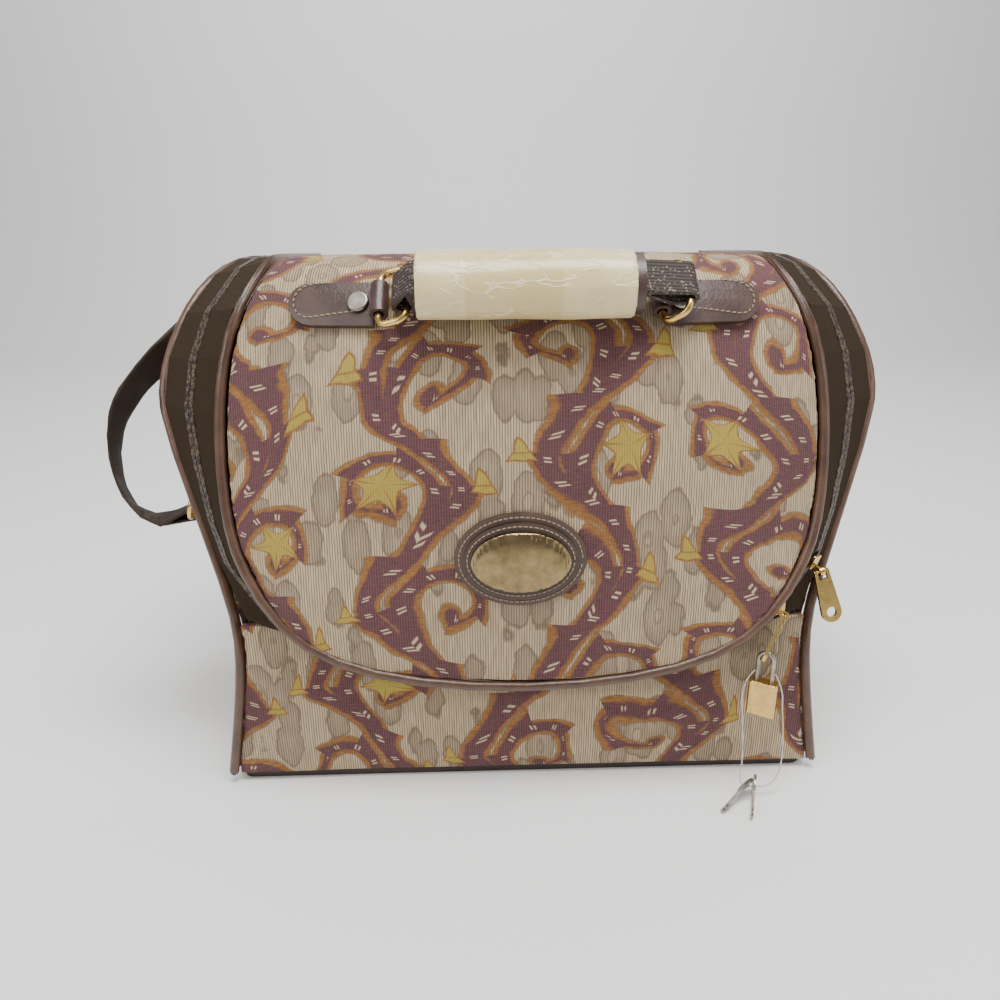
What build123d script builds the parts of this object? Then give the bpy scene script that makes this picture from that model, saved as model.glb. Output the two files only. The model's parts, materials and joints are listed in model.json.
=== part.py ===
from build123d import *
import os
from math import asin, cos, degrees, radians, sin, tan

# A soft travel bag: a case of sewn panels, and a lid that wraps over the front and top.
# X runs to the viewer's right, the front faces -Y, Z is up, and Z = 0 is the floor.

# Case
BASE_HALF_WIDTH = 161.0
WAIST_HALF_WIDTH = 148.5
SHOULDER_HALF_WIDTH = 187.0
TOP_HALF_WIDTH = 160.0
CASE_HALF_DEPTH = 95.0
WAIST_HEIGHT = 80.0
SHOULDER_HEIGHT = 211.0
TOP_HEIGHT = 278.0
SIDE_TAPER = 0.02
FRONT_PANEL_TOP = 97.0
FRONT_BOW = 3.0
BACK_LEAN = 4.0
BACK_CORNER_RADIUS = 6.0
PANEL_WALL = 3.5
SEAM_GAP = 0.4
LINING_WALL = 1.5
BASE_THICKNESS = 6.0
BASE_SETBACK = 4.0
BASE_CORNER_RADIUS = 6.0

# Lid
LID_HALF_WIDTH = 152.0
LID_TOP_HALF_WIDTH = 128.0
LID_BOTTOM = 65.5
LID_FRONT = 115.0
LID_WALL = 4.0
LID_LINING_WALL = 1.0
HINGE_Y = 84.0

# Piping and zip
PIPING_RADIUS = 2.6
TAPE_THICKNESS = 1.2
COIL_WIDTH = 3.0
COIL_HEIGHT = 2.0
COIL_GAP = 0.5
GUSSET_TURN = 9.0

# Badge
BADGE_X = -4.0
BADGE_Z = 141.0
PATCH_OUTER_SIZE = (64.0, 48.0)
PATCH_INNER_SIZE = (55.0, 39.0)
PLATE_SIZE = (48.0, 31.0)
PATCH_THICKNESS = 1.8
PLATE_THICKNESS = 2.4

# Handle, in its own frame: u along the lid, v up its slope, w square to it
HANDLE_ORIGIN = (0.0, -88.0, 262.0)
HANDLE_SLOPE = 46.2
LEATHER = 1.8
TAB_HALF_WIDTH = 11.0
TAB_END = 112.0
TAB_ROW = 6.33
TAB_ROW_PITCH = 27.0
TAB_BAR_LEFT = 68.0
TAB_BAR_RIGHT = 62.0
LOOP_INNER = 2.4
LOOP_LENGTH = 17.0
RIVET_RADIUS = 5.2
RIVET_HEIGHT = 1.6
RIVET_INSET = 9.4
RING_LENGTH = 30.0
RING_WIDTH = 14.0
RING_CORNER = 5.0
RING_WIRE = 1.7
RING_V = -3.3
RING_W = 2.2
RING_REST_LEFT = 20.0
RING_REST_RIGHT = 42.0
LIFT = 4.0
WEB_WIDTH = 18.0
WEB_THICKNESS = 2.0
WEB_SLACK = 0.7
GRIP_LENGTH = 100.0
GRIP_V = -7.5
GRIP_W = 16.5
GRIP_SIZE = (28.6, 24.4)
GRIP_CLEARANCE = 0.2
SLEEVE_WALL = 1.1
SLEEVE_LEFT = -49.6
SLEEVE_RIGHT = 46.0

# Zip sliders and pulls
SIDE_SLIDER_HEIGHT = 126.0
FRONT_SLIDER_HEIGHT = 104.0
SLIDER_LENGTH = 8.0
SLIDER_WIDTH = 6.6
SLIDER_SHIFT = 1.0
SLIDER_PLATE = 1.2
SLIDER_GAP = 0.5
SLIDER_ROOM = 26.0
EYE_RADIUS = 2.3
EYE_THICKNESS = 2.4
EYE_HOLE = 1.1
EYE_SETBACK = 2.6
EYE_RISE = 1.95
PULL_BAR = 0.8
PULL_THICKNESS = 1.6
PULL_WIDTH = 11.0
PULL_NECK = 4.0
PULL_LENGTH = 28.0
PULL_HOLE = 2.7
SIDE_PULL_DOWN = (0.27, -0.2, -0.94)
SIDE_PULL_FACE = (0.1, -0.99, 0.17)
FRONT_PULL_DOWN = (-0.335, -0.087, -0.939)
FRONT_PULL_FACE = (0.852, -0.513, -0.093)

# Padlock and keys
LOCK_SIZE = (15.0, 7.0, 20.0)
SHACKLE_WIRE = 1.25
SHACKLE_WIDTH = 7.6
SHACKLE_HEIGHT = 16.5
SHACKLE_SEAT = 6.0
SHACKLE_CLEARANCE = 0.05
KEY_LENGTH = 20.0
KEY_BOW = (4.6, 5.6)
KEY_THICKNESS = 1.0
KEY_BLADE = 2.6
KEY_HOLE = 1.7
KEY_FLAT = ((117.4, -118.0, 7.4), (102.6, -129.4, 2.4), (0.5, -0.4, 0.8))
KEY_EDGE = ((122.4, -117.4, 7.4), (115.4, -135.4, 2.2), (0.0, -0.3, 1.0))
THREAD_RADIUS = 0.35
ARC_SHARE = 0.45

# Shoulder strap
STRAP_WIDTH = 25.0
STRAP_THICKNESS = 1.8
STRAP_TAB_HALF_WIDTH = 11.0
STRAP_TAB_LENGTH = 32.0
STRAP_RING_LENGTH = 34.0
STRAP_RING_WIDTH = 12.0
LEFT_RING = (-48.0, 158.0)
RIGHT_RING = (10.0, 176.0)
SLIDE_SIZE = (14.0, 31.0, 5.0)
STRAP_RING_OUT = 0.25


def smooth(knots, v):
    """Value at v of the curve that passes smoothly through the (v, value) knots."""
    last = len(knots) - 1
    i = 0
    while i < last - 1 and v > knots[i + 1][0]:
        i += 1
    v0, p0 = knots[i]
    v1, p1 = knots[i + 1]
    before = knots[max(i - 1, 0)]
    after = knots[min(i + 2, last)]
    m0 = (p1 - before[1]) / (v1 - before[0]) * (v1 - v0)
    m1 = (after[1] - p0) / (after[0] - v0) * (v1 - v0)
    t = (v - v0) / (v1 - v0)
    a = 2 * t**3 - 3 * t**2 + 1
    b = t**3 - 2 * t**2 + t
    c = -2 * t**3 + 3 * t**2
    d = t**3 - t**2
    return a * p0 + b * m0 + c * p1 + d * m1


# Half width of the case against height: flared foot, waist, full shoulder, rounded top.
CASE_WIDTHS = [
    (0.0, BASE_HALF_WIDTH),
    (0.5 * WAIST_HEIGHT, 0.5 * (BASE_HALF_WIDTH + WAIST_HALF_WIDTH) - 1.0),
    (WAIST_HEIGHT, WAIST_HALF_WIDTH),
    (WAIST_HEIGHT + 0.24 * (SHOULDER_HEIGHT - WAIST_HEIGHT), WAIST_HALF_WIDTH + 4.0),
    (WAIST_HEIGHT + 0.62 * (SHOULDER_HEIGHT - WAIST_HEIGHT), SHOULDER_HALF_WIDTH - 16.0),
    (SHOULDER_HEIGHT, SHOULDER_HALF_WIDTH),
    (SHOULDER_HEIGHT + 0.55 * (TOP_HEIGHT - SHOULDER_HEIGHT), SHOULDER_HALF_WIDTH - 7.5),
    (SHOULDER_HEIGHT + 0.86 * (TOP_HEIGHT - SHOULDER_HEIGHT), TOP_HALF_WIDTH + 8.5),
    (TOP_HEIGHT, TOP_HALF_WIDTH),
    (TOP_HEIGHT + 12.0, TOP_HALF_WIDTH - 14.0),
]


def side_x(y, z):
    return smooth(CASE_WIDTHS, z) * (1 - SIDE_TAPER * y / 100.0)


# Front edge of a side panel in side view: height against y, from the foot to the top.
OPEN_EDGE = [
    (0.0, -CASE_HALF_DEPTH),
    (60.0, -CASE_HALF_DEPTH),
    (87.0, -CASE_HALF_DEPTH + 3.5),
    (112.0, -CASE_HALF_DEPTH + 8.0),
    (163.0, -CASE_HALF_DEPTH + 24.0),
    (204.0, -CASE_HALF_DEPTH + 38.0),
    (236.0, -CASE_HALF_DEPTH + 53.0),
    (259.0, -CASE_HALF_DEPTH + 69.0),
    (TOP_HEIGHT - 8.0, -CASE_HALF_DEPTH + 81.0),
    (TOP_HEIGHT, -CASE_HALF_DEPTH + 103.0),
]
OPEN_TOP_Y = OPEN_EDGE[-1][1]


def open_y(z):
    return smooth(OPEN_EDGE, z)


def case_edge(y, z):
    """Point on the outer face of the right side panel."""
    return Vector(side_x(y, z), y, z)


def inner_x(y, z, depth):
    """Half width inside the side panel, at a depth measured square to its face."""
    slope = (side_x(y, z + 1.0) - side_x(y, z - 1.0)) / 2.0
    return side_x(y, z) - depth * (1 + slope**2) ** 0.5


def back_y(z):
    """Outer face of the back panel, which leans and rounds over into the top."""
    corner = BACK_CORNER_RADIUS
    face = CASE_HALF_DEPTH - BACK_LEAN * z / TOP_HEIGHT
    rise = z - (TOP_HEIGHT - corner)
    if rise <= 0:
        return face
    return face - corner + (corner**2 - min(rise, corner) ** 2) ** 0.5


def ribbon(starts, ends, low, high, line=None):
    """Band whose two long edges follow two rows of points, between two offsets from them.

    The offsets are square to the band and to its line, which is its own middle if none is given.
    """
    line = line or [s + e for s, e in zip(starts, ends)]
    sections = []
    for i in range(len(starts)):
        before = max(i - 1, 0)
        after = min(i + 1, len(starts) - 1)
        run = line[after] - line[before]
        lift = run.cross(ends[i] - starts[i])
        if i == 0 and abs(run.Z) > abs(run.Y):
            lift = Vector(lift.X, lift.Y, 0)
        lift = lift.normalized()
        corners = [
            starts[i] + lift * low,
            ends[i] + lift * low,
            ends[i] + lift * high,
            starts[i] + lift * high,
        ]
        sections.append(Wire.make_polygon(corners, close=True))
    return Solid.make_loft(sections, ruled=True)


# Side view of the lid from below its front edge, up and over to the hinge, at the middle
# and at the widest edge. The dome of the lid is the blend from one to the other.
LID_CENTRE = [
    (-LID_FRONT + 8.0, LID_BOTTOM - 20.0),
    (-LID_FRONT + 5.0, LID_BOTTOM),
    (-LID_FRONT + 1.5, LID_BOTTOM + 38.0),
    (-LID_FRONT, LID_BOTTOM + 78.0),
    (-LID_FRONT + 1.0, 184.0),
    (-LID_FRONT + 6.5, TOP_HEIGHT - 56.0),
    (-LID_FRONT + 17.0, TOP_HEIGHT - 28.0),
    (-LID_FRONT + 36.0, TOP_HEIGHT - 8.0),
    (-LID_FRONT + 62.0, TOP_HEIGHT + 1.5),
    (-20.0, TOP_HEIGHT + 3.0),
    (15.0, TOP_HEIGHT + 3.0),
    (50.0, TOP_HEIGHT + 2.2),
    (HINGE_Y - 6.0, TOP_HEIGHT + 1.0),
    (HINGE_Y, TOP_HEIGHT + 1.0),
]
LID_EDGE = [
    (-112.0, LID_BOTTOM - 20.0),
    (-110.0, LID_BOTTOM),
    (-103.5, LID_BOTTOM + 38.0),
    (-94.5, LID_BOTTOM + 78.0),
    (-86.0, 184.0),
    (-78.0, TOP_HEIGHT - 56.0),
    (-70.5, TOP_HEIGHT - 28.0),
    (-61.0, TOP_HEIGHT - 9.0),
    (-45.0, TOP_HEIGHT - 0.5),
    (-18.0, TOP_HEIGHT + 0.5),
    (15.0, TOP_HEIGHT + 0.5),
    (50.0, TOP_HEIGHT + 0.7),
    (HINGE_Y - 6.0, TOP_HEIGHT + 1.0),
    (HINGE_Y, TOP_HEIGHT + 1.0),
]

# Front view of the lid's right half, from above the top down to the middle of its front edge.
LID_OUTLINE = [
    (LID_TOP_HALF_WIDTH - 8.0, TOP_HEIGHT + 14.0),
    (LID_TOP_HALF_WIDTH, TOP_HEIGHT),
    (LID_HALF_WIDTH - 12.5, TOP_HEIGHT - 22.0),
    (LID_HALF_WIDTH - 5.0, TOP_HEIGHT - 45.0),
    (LID_HALF_WIDTH - 1.0, TOP_HEIGHT - 71.0),
    (LID_HALF_WIDTH, TOP_HEIGHT - 98.0),
    (LID_HALF_WIDTH - 2.5, LID_BOTTOM + 84.5),
    (LID_HALF_WIDTH - 9.0, LID_BOTTOM + 64.5),
    (LID_HALF_WIDTH - 26.0, LID_BOTTOM + 36.0),
    (LID_HALF_WIDTH - 52.0, LID_BOTTOM + 16.5),
    (LID_HALF_WIDTH - 95.0, LID_BOTTOM + 4.5),
    (0.0, LID_BOTTOM),
]


def lid_point(x, s, depth=0.0):
    """Point of the lid at x and at place s along its side view, at a depth below its face."""
    share = (x / LID_HALF_WIDTH) ** 2

    def at(place):
        y, z = (
            (1 - share) * smooth([(i, c[k]) for i, c in enumerate(LID_CENTRE)], place)
            + share * smooth([(i, e[k]) for i, e in enumerate(LID_EDGE)], place)
            for k in (0, 1)
        )
        return Vector(x, y, z)

    last = len(LID_CENTRE) - 1
    along = (at(min(s + 0.05, last)) - at(max(s - 0.05, 0))).normalized()
    return at(s) + Vector(0, along.Z, -along.Y) * depth


def lid_place(x, z):
    """Place along the side view where the front of the lid at x is z high."""
    low = 0.0
    high = 8.0
    for _ in range(30):
        middle = 0.5 * (low + high)
        if lid_point(x, middle).Z < z:
            low = middle
        else:
            high = middle
    return low


def lid_outline(t, inset=0.0):
    """Point (x, z) at place t round the lid's outline in front view, moved in by an inset."""
    xs = [(i, p[0]) for i, p in enumerate(LID_OUTLINE)]
    zs = [(i, p[1]) for i, p in enumerate(LID_OUTLINE)]
    last = len(LID_OUTLINE) - 1
    before = max(t - 0.05, 0)
    after = min(t + 0.05, last)
    along = Vector(smooth(xs, after) - smooth(xs, before), smooth(zs, after) - smooth(zs, before))
    along = along.normalized()
    return smooth(xs, t) + inset * along.Y, smooth(zs, t) - inset * along.X


def lid_rows(inset):
    """Half width and place of each row across the lid, from the hinge to the front edge."""
    last = len(LID_CENTRE) - 1
    rows = [(LID_TOP_HALF_WIDTH - inset, s) for s in (last, last - 1, last - 2, last - 3, last - 4, 8.0)]
    for t in (1.5, 2, 3, 4, 5, 6, 6.5, 7, 7.5, 8, 8.5, 9, 9.5, 10, 10.4, 10.75):
        x, z = lid_outline(t, inset)
        rows.append((x, lid_place(x, z)))
    return rows


def lid_sheet(inset, outer, inner):
    """The lid's wall between two depths, cut to its outline less an inset."""
    rows = lid_rows(inset)
    shares = (-1, -0.5, 0, 0.5, 1)
    sections = []
    for i, (x, s) in enumerate(rows):
        out_row = [lid_point(x * share, s, outer) for share in shares]
        in_row = [lid_point(-x * share, s, inner) for share in shares]
        if i == 0:
            out_row = [Vector(p.X, HINGE_Y, TOP_HEIGHT + 1.0 - outer) for p in out_row]
            in_row = [Vector(p.X, HINGE_Y, TOP_HEIGHT + 1.0 - inner) for p in in_row]
        if i == len(rows) - 1:
            level = lid_point(0, s).Z
            out_row = [Vector(p.X, lid_point(p.X, s).Y + outer, level) for p in out_row]
            in_row = [Vector(p.X, lid_point(p.X, s).Y + inner, level) for p in in_row]
        sides = [Edge.make_line(out_row[-1], in_row[0]), Edge.make_line(in_row[-1], out_row[0])]
        if i == 0:
            front, rear = Edge.make_line(out_row[0], out_row[-1]), Edge.make_line(in_row[0], in_row[-1])
        else:
            front, rear = Edge.make_spline(out_row), Edge.make_spline(in_row)
        sections.append(Wire([front, sides[0], rear, sides[1]]))
    return Solid.make_loft(sections)


def lid_edge_points():
    """Right half of the lid's edge on its outer face, from the hinge to the middle of the front."""
    last = len(LID_CENTRE) - 1
    points = [lid_point(LID_TOP_HALF_WIDTH, s) for s in (last, last - 2, last - 3.2, 8.6)]
    for t in (1, 2, 3, 4, 5, 6, 7, 8, 9, 10, 11):
        x, z = lid_outline(t)
        points.append(lid_point(x, lid_place(x, z)))
    return points


def mirrored(points):
    """A right half run from the back to the middle, carried on up the left side."""
    return points + [Vector(-p.X, p.Y, p.Z) for p in reversed(points[:-1])]


def tube(points, radius, least_turn=1.5):
    """Round piping laid in short straight runs, mitred where they meet."""
    kept = [points[0]]
    for point, after in zip(points[1:-1], points[2:]):
        if (point - kept[-1]).get_angle(after - point) > least_turn:
            kept.append(point)
    path = Polyline(*kept, points[-1])
    start = Plane(origin=path @ 0, z_dir=path % 0)
    return sweep(start * Circle(radius), path=path, transition=Transition.RIGHT)


def side_piping_points():
    points = [case_edge(open_y(z), z) for z in (BASE_THICKNESS, 33, 60, 87, 112, 140, 165, 190, 213)]
    points += [case_edge(open_y(z), z) for z in (235, 255, 269)]
    points += [case_edge(y, TOP_HEIGHT) for y in (OPEN_TOP_Y, 45.0)]
    corner = BACK_CORNER_RADIUS
    for z in (TOP_HEIGHT, TOP_HEIGHT - 0.3 * corner, TOP_HEIGHT - corner, 235, 205, 170, 130, 90, 50):
        points.append(case_edge(back_y(z), z))
    points.append(case_edge(back_y(BASE_THICKNESS), BASE_THICKNESS))
    return points


def before_turn(before, after):
    """Degrees by which the gusset turns between two of its lines."""
    return max((before[i] - before[1]).get_angle(after[i] - after[1]) for i in (0, 2))


def gusset_lines():
    """Right half of the zip gusset: the lid's edge, the zip's own line and the mouth's edge.

    At the lower corner the gusset turns over, from beside the lid's edge to behind it.
    """
    edge = lid_edge_points()[:-4]
    mouth = [case_edge(y, TOP_HEIGHT) for y in (HINGE_Y, 50.0, 20.0, OPEN_TOP_Y)]
    for drop in (8.0, 27.0, 48.0, 71.0, 97.0, 124.5, 146.5):
        mouth.append(case_edge(open_y(TOP_HEIGHT - drop), TOP_HEIGHT - drop))
    lines = []
    for p, q in zip(edge, mouth):
        across = (q - p).normalized()
        start = p + across * PIPING_RADIUS
        end = q - across * PIPING_RADIUS
        lines.append((start, (start + end) * 0.5, end))
    tuck = LID_WALL + SEAM_GAP + LID_LINING_WALL + TAPE_THICKNESS
    brim_y = -CASE_HALF_DEPTH - 0.5 * TAPE_THICKNESS - SEAM_GAP
    brim_z = FRONT_PANEL_TOP
    corner = side_x(-CASE_HALF_DEPTH, FRONT_PANEL_TOP)
    turned = [
        ((18.0, LID_BOTTOM + 47.5, 0.5), (14.0, 4.0, 15.5), Vector(corner - 3.0, brim_y + 5.0, brim_z + 12.0)),
        ((27.0, LID_BOTTOM + 35.0, 1.0), (23.0, 0.5, 3.5), Vector(corner - 7.0, brim_y + 2.0, brim_z + 4.0)),
        ((35.0, LID_BOTTOM + 27.0, 1.0), (32.0, -1.0, -3.0), Vector(corner - 18.0, brim_y, brim_z)),
        ((46.0, LID_BOTTOM + 19.5, 1.0), (44.0, -2.0, -8.0), Vector(corner - 34.0, brim_y, brim_z)),
        ((66.0, LID_BOTTOM + 11.5, 1.0), (65.0, -2.5, -12.0), Vector(corner - 60.0, brim_y, brim_z)),
        ((95.0, LID_BOTTOM + 4.5, 1.0), (95.0, -2.5, -14.0), Vector(corner - 93.0, brim_y, brim_z)),
        ((LID_HALF_WIDTH, LID_BOTTOM, 1.0), (LID_HALF_WIDTH, -2.5, -16.0), Vector(0, brim_y, brim_z)),
    ]
    for (inset, z, tucked), (zip_inset, dy, dz), q in turned:
        x = LID_HALF_WIDTH - inset
        p = lid_point(x, lid_place(x, z)) + Vector(0, tuck * tucked, 0)
        middle = Vector(LID_HALF_WIDTH - zip_inset, brim_y - 2.0 + dy, brim_z + dz)
        lines.append((p, middle, q))
    fine = lines[:1]
    for before, after in zip(lines, lines[1:]):
        parts = 1 + round(before_turn(before, after) / GUSSET_TURN)
        for k in range(1, parts + 1):
            share = k / parts
            fine.append([p + (q - p) * share for p, q in zip(before, after)])
    return [mirrored([line[i] for line in fine]) for i in range(3)]


def gusset_band(side, inner, outer, thickness):
    """Part of the gusset, between two distances from the zip's line."""
    edge, middle, mouth = gusset_lines()
    starts = []
    ends = []
    for m, far in zip(middle, edge if side == "lid" else mouth):
        unit = (far - m).normalized()
        starts.append(m + unit * inner)
        ends.append(far if outer is None else m + unit * outer)
    if side == "lid":
        starts, ends = ends, starts
    return ribbon(starts, ends, -0.5 * thickness, 0.5 * thickness, middle)


def front_seat(z):
    """Where the side panel starts behind the piping, or behind the front panel."""
    slope = (open_y(z + 1.0) - open_y(z - 1.0)) / 2.0
    clear = (PIPING_RADIUS + SEAM_GAP) * (1 + slope**2) ** 0.5
    if z < FRONT_PANEL_TOP:
        clear = PANEL_WALL + 2 * SEAM_GAP
    return open_y(z) + clear


# Heights at which the panels' curved sections are laid out.
SECTION_HEIGHTS = [BASE_THICKNESS, 18, 33, 48, 63, 78, 93, 104, 115, 127, 140, 155, 170, 185, 200]
SECTION_HEIGHTS += [213, 226, 239, 251, 261]


def side_panel():
    starts = []
    ends = []
    top = TOP_HEIGHT - PIPING_RADIUS - SEAM_GAP
    for z in SECTION_HEIGHTS + [TOP_HEIGHT - 9.0, top]:
        starts.append(case_edge(front_seat(z), z))
        ends.append(case_edge(back_y(z) - PANEL_WALL - SEAM_GAP, z))
    return ribbon(starts, ends, 0, PANEL_WALL)


def back_panel():
    corner = BACK_CORNER_RADIUS
    heights = (BASE_THICKNESS, 24, 42, 60, 80, 100, 120, 140, 160, 180, 200, 218, 236, 254)
    rows = [(back_y(z), z) for z in heights]
    for turn in (0, 30, 60):
        z = TOP_HEIGHT - corner + corner * sin(radians(turn))
        rows.append((back_y(z), z))
    rows += [(HINGE_Y + SEAM_GAP + 1.0, TOP_HEIGHT), (HINGE_Y + SEAM_GAP, TOP_HEIGHT)]
    starts = []
    ends = []
    for y, z in rows:
        x = inner_x(y, min(z, TOP_HEIGHT - 1.0), PIPING_RADIUS + 3 * SEAM_GAP)
        starts.append(Vector(x, y, z))
        ends.append(Vector(-x, y, z))
    return ribbon(starts, ends, 0, PANEL_WALL)


def front_lower_panel():
    """Flat at its sewn edges, and bowed a little out between them."""
    sections = []
    rise = FRONT_PANEL_TOP - BASE_THICKNESS
    for share in (0, 0.15, 0.35, 0.6, 0.8, 1):
        z = BASE_THICKNESS + rise * share
        y = -CASE_HALF_DEPTH
        x = inner_x(y, z, PIPING_RADIUS + SEAM_GAP)
        bow = FRONT_BOW * sin(radians(180 * share))
        front = Edge.make_three_point_arc((-x, y, z), (0, y - bow - 0.01, z), (x, y, z))
        rear_y = y + PANEL_WALL
        rear = Edge.make_three_point_arc((x, rear_y, z), (0, rear_y - bow - 0.01, z), (-x, rear_y, z))
        ends = [Edge.make_line((x, y, z), (x, rear_y, z)), Edge.make_line((-x, rear_y, z), (-x, y, z))]
        sections.append(Wire([front, ends[0], rear, ends[1]]))
    return Solid.make_loft(sections)


def base_panel():
    y = CASE_HALF_DEPTH - BASE_SETBACK
    front = side_x(-y, 0) - BASE_SETBACK
    back = side_x(y, 0) - BASE_SETBACK
    outline = Polyline((-front, -y), (front, -y), (back, y), (-back, y), close=True)
    face = fillet(make_face(outline).vertices(), BASE_CORNER_RADIUS)
    return extrude(face, BASE_THICKNESS)


def case_lining():
    """One sewn lining: a floor, two sides and a back, and a front as high as the front panel."""
    wall = LINING_WALL
    outside = PANEL_WALL + SEAM_GAP
    sections = []
    for z in SECTION_HEIGHTS + [TOP_HEIGHT - 10.0]:
        rear = back_y(z) - outside
        front = front_seat(z) + SEAM_GAP
        x0 = inner_x(front, z, outside)
        x1 = inner_x(rear, z, outside)
        points = [(x0, front), (x1, rear), (-x1, rear), (-x0, front)]
        points += [(-x0 + wall, front), (-x1 + wall, rear - wall), (x1 - wall, rear - wall), (x0 - wall, front)]
        sections.append(Wire.make_polygon([Vector(px, py, z) for px, py in points], close=True))
    walls = Solid.make_loft(sections, ruled=True)
    front = front_seat(BASE_THICKNESS) + SEAM_GAP
    starts = []
    ends = []
    for z in (BASE_THICKNESS, 18, 33, 48, 63, 78, FRONT_PANEL_TOP - 1.0):
        x = inner_x(front, z, outside + 0.5 * wall)
        starts.append(Vector(-x, front, z))
        ends.append(Vector(x, front, z))
    front_wall = ribbon(starts, ends, 0, wall)
    rear = back_y(BASE_THICKNESS) - outside - 0.5 * wall
    x0 = inner_x(front, BASE_THICKNESS, outside + wall)
    x1 = inner_x(rear, BASE_THICKNESS, outside + wall)
    outline = Polyline((-x0, front), (x0, front), (x1, rear), (-x1, rear), close=True)
    floor = extrude(Pos(0, 0, BASE_THICKNESS) * make_face(outline), wall)
    return walls + front_wall + floor


# Handle frame
slope = radians(HANDLE_SLOPE)
handle = Plane(origin=HANDLE_ORIGIN, x_dir=(1, 0, 0), z_dir=(0, -sin(slope), cos(slope)))


def at_handle(u, v, w):
    return handle.from_local_coords(Vector(u, v, w))


def badge_layer(size, low, high):
    """Oval layer that follows the crown of the lid, between two heights over it."""
    crown = LID_HALF_WIDTH**2 / (2 * (LID_EDGE[3][0] - LID_CENTRE[3][0]))
    face = Plane(origin=(BADGE_X, -LID_FRONT, BADGE_Z), x_dir=(1, 0, 0), z_dir=(0, -1, 0))
    block = face * extrude(Ellipse(0.5 * size[0], 0.5 * size[1]), 20, both=True)
    ring = Cylinder(crown + high, 100) - Cylinder(crown + low, 100)
    return block & (Pos(0, crown - LID_FRONT - SEAM_GAP, BADGE_Z) * ring)


def tab(bar_u):
    """Two layers of leather sewn to the lid, rolled at the inner end into a loop for the ring."""
    straight_end = TAB_END - TAB_HALF_WIDTH
    xs = [bar_u + LOOP_INNER + SEAM_GAP, bar_u + 8.0, 0.5 * (bar_u + TAB_END), straight_end]
    xs += [straight_end + TAB_HALF_WIDTH * sin(radians(a)) for a in (20, 40, 55, 68, 80)]
    low = 1.5 * SEAM_GAP
    sections = []
    for x in xs:
        over = max(x - straight_end, 0)
        half = (TAB_HALF_WIDTH**2 - over**2) ** 0.5 / TAB_ROW_PITCH
        row = [TAB_ROW + half * share for share in (-1, -0.5, 0, 0.5, 1)]
        points = [lid_point(x, s, -low) for s in row]
        points += [lid_point(x, s, -low - 2 * LEATHER) for s in reversed(row)]
        sections.append(Wire.make_polygon(points, close=True))
    strip = Solid.make_loft(sections, ruled=True)
    seat = handle * Pos(bar_u, RING_V, RING_W) * Rot(90, 0, 0)
    strip += seat * Cylinder(LOOP_INNER + LEATHER, LOOP_LENGTH)
    return strip - seat * Cylinder(LOOP_INNER, 2 * LOOP_LENGTH)


def rivet(x):
    across = lid_point(x + 1, TAB_ROW) - lid_point(x - 1, TAB_ROW)
    along = lid_point(x, TAB_ROW + 0.1) - lid_point(x, TAB_ROW - 0.1)
    normal = across.cross(along).normalized()
    dome = Cylinder(RIVET_RADIUS, RIVET_HEIGHT, align=(Align.CENTER, Align.CENTER, Align.MIN))
    dome = fillet(dome.edges().sort_by(Axis.Z)[-1], 0.7 * RIVET_HEIGHT)
    seat = lid_point(x, TAB_ROW) + normal * (2.5 * SEAM_GAP + 2 * LEATHER)
    return Plane(origin=seat, z_dir=normal) * dome


def oval_ring(length, width, corner, wire):
    """Wire ring in the XY plane, with the middle of one long bar at the origin."""
    path = (Pos(0, 0.5 * width) * RectangleRounded(length, width, corner)).wire()
    return sweep(Plane(origin=path @ 0, z_dir=path % 0) * Circle(wire), path=path)


def handle_ring(bar_u, angle):
    """Ring turned about its bar in the tab, up from the lid by an angle."""
    turn = radians(angle)
    turned = Plane(
        origin=at_handle(bar_u, RING_V, RING_W),
        x_dir=handle.y_dir,
        z_dir=handle.x_dir * sin(turn) - handle.z_dir * cos(turn),
    )
    return turned * oval_ring(RING_LENGTH, RING_WIDTH, RING_CORNER, RING_WIRE)


def lifted(angle):
    """Angle of a ring once the handle has risen by its lift."""
    return degrees(asin(sin(radians(angle)) + LIFT / RING_WIDTH))


def handle_webbing():
    """A band through the grip, with a sewn loop round each ring's bar, long enough for the lift."""
    half = 0.5 * GRIP_LENGTH
    start = half + WEB_THICKNESS + GRIP_CLEARANCE
    band = [Pos(0, GRIP_W) * Rectangle(2 * start, WEB_THICKNESS)]
    for bar_u, rest, end in (
        (-TAB_BAR_LEFT, RING_REST_LEFT, -start),
        (TAB_BAR_RIGHT, RING_REST_RIGHT, start),
    ):
        w = RING_W + RING_WIDTH * sin(radians(rest)) + 0.1
        us = [bar_u + RING_WIDTH * cos(radians(a)) for a in (rest, lifted(rest))]
        gap = RING_WIRE + WEB_SLACK
        lead = 1.05 * end
        outer = [Pos(u, w) * Circle(gap + WEB_THICKNESS) for u in us]
        outer.append(Pos(end, GRIP_W - 1.0) * Circle(WEB_THICKNESS))
        inner = [Pos(u, w) * Circle(gap) for u in us] + [Pos(lead, GRIP_W - 2.2) * Circle(0.3)]
        loop = [make_hull([e for shape in shapes for e in shape.edges()]) for shapes in (outer, inner)]
        band.append(loop[0] - loop[1])
    side = Plane(origin=at_handle(0, RING_V, 0), x_dir=(1, 0, 0), z_dir=-handle.y_dir)
    return side * extrude(band[0] + band[1] + band[2], 0.5 * WEB_WIDTH, both=True)


def grip_tube(size, start, end):
    """Solid of oval section along the handle."""
    section = Plane(origin=at_handle(start, GRIP_V, GRIP_W), x_dir=handle.y_dir, z_dir=handle.x_dir)
    return extrude(section * Ellipse(0.5 * size[0], 0.5 * size[1]), end - start)


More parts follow.
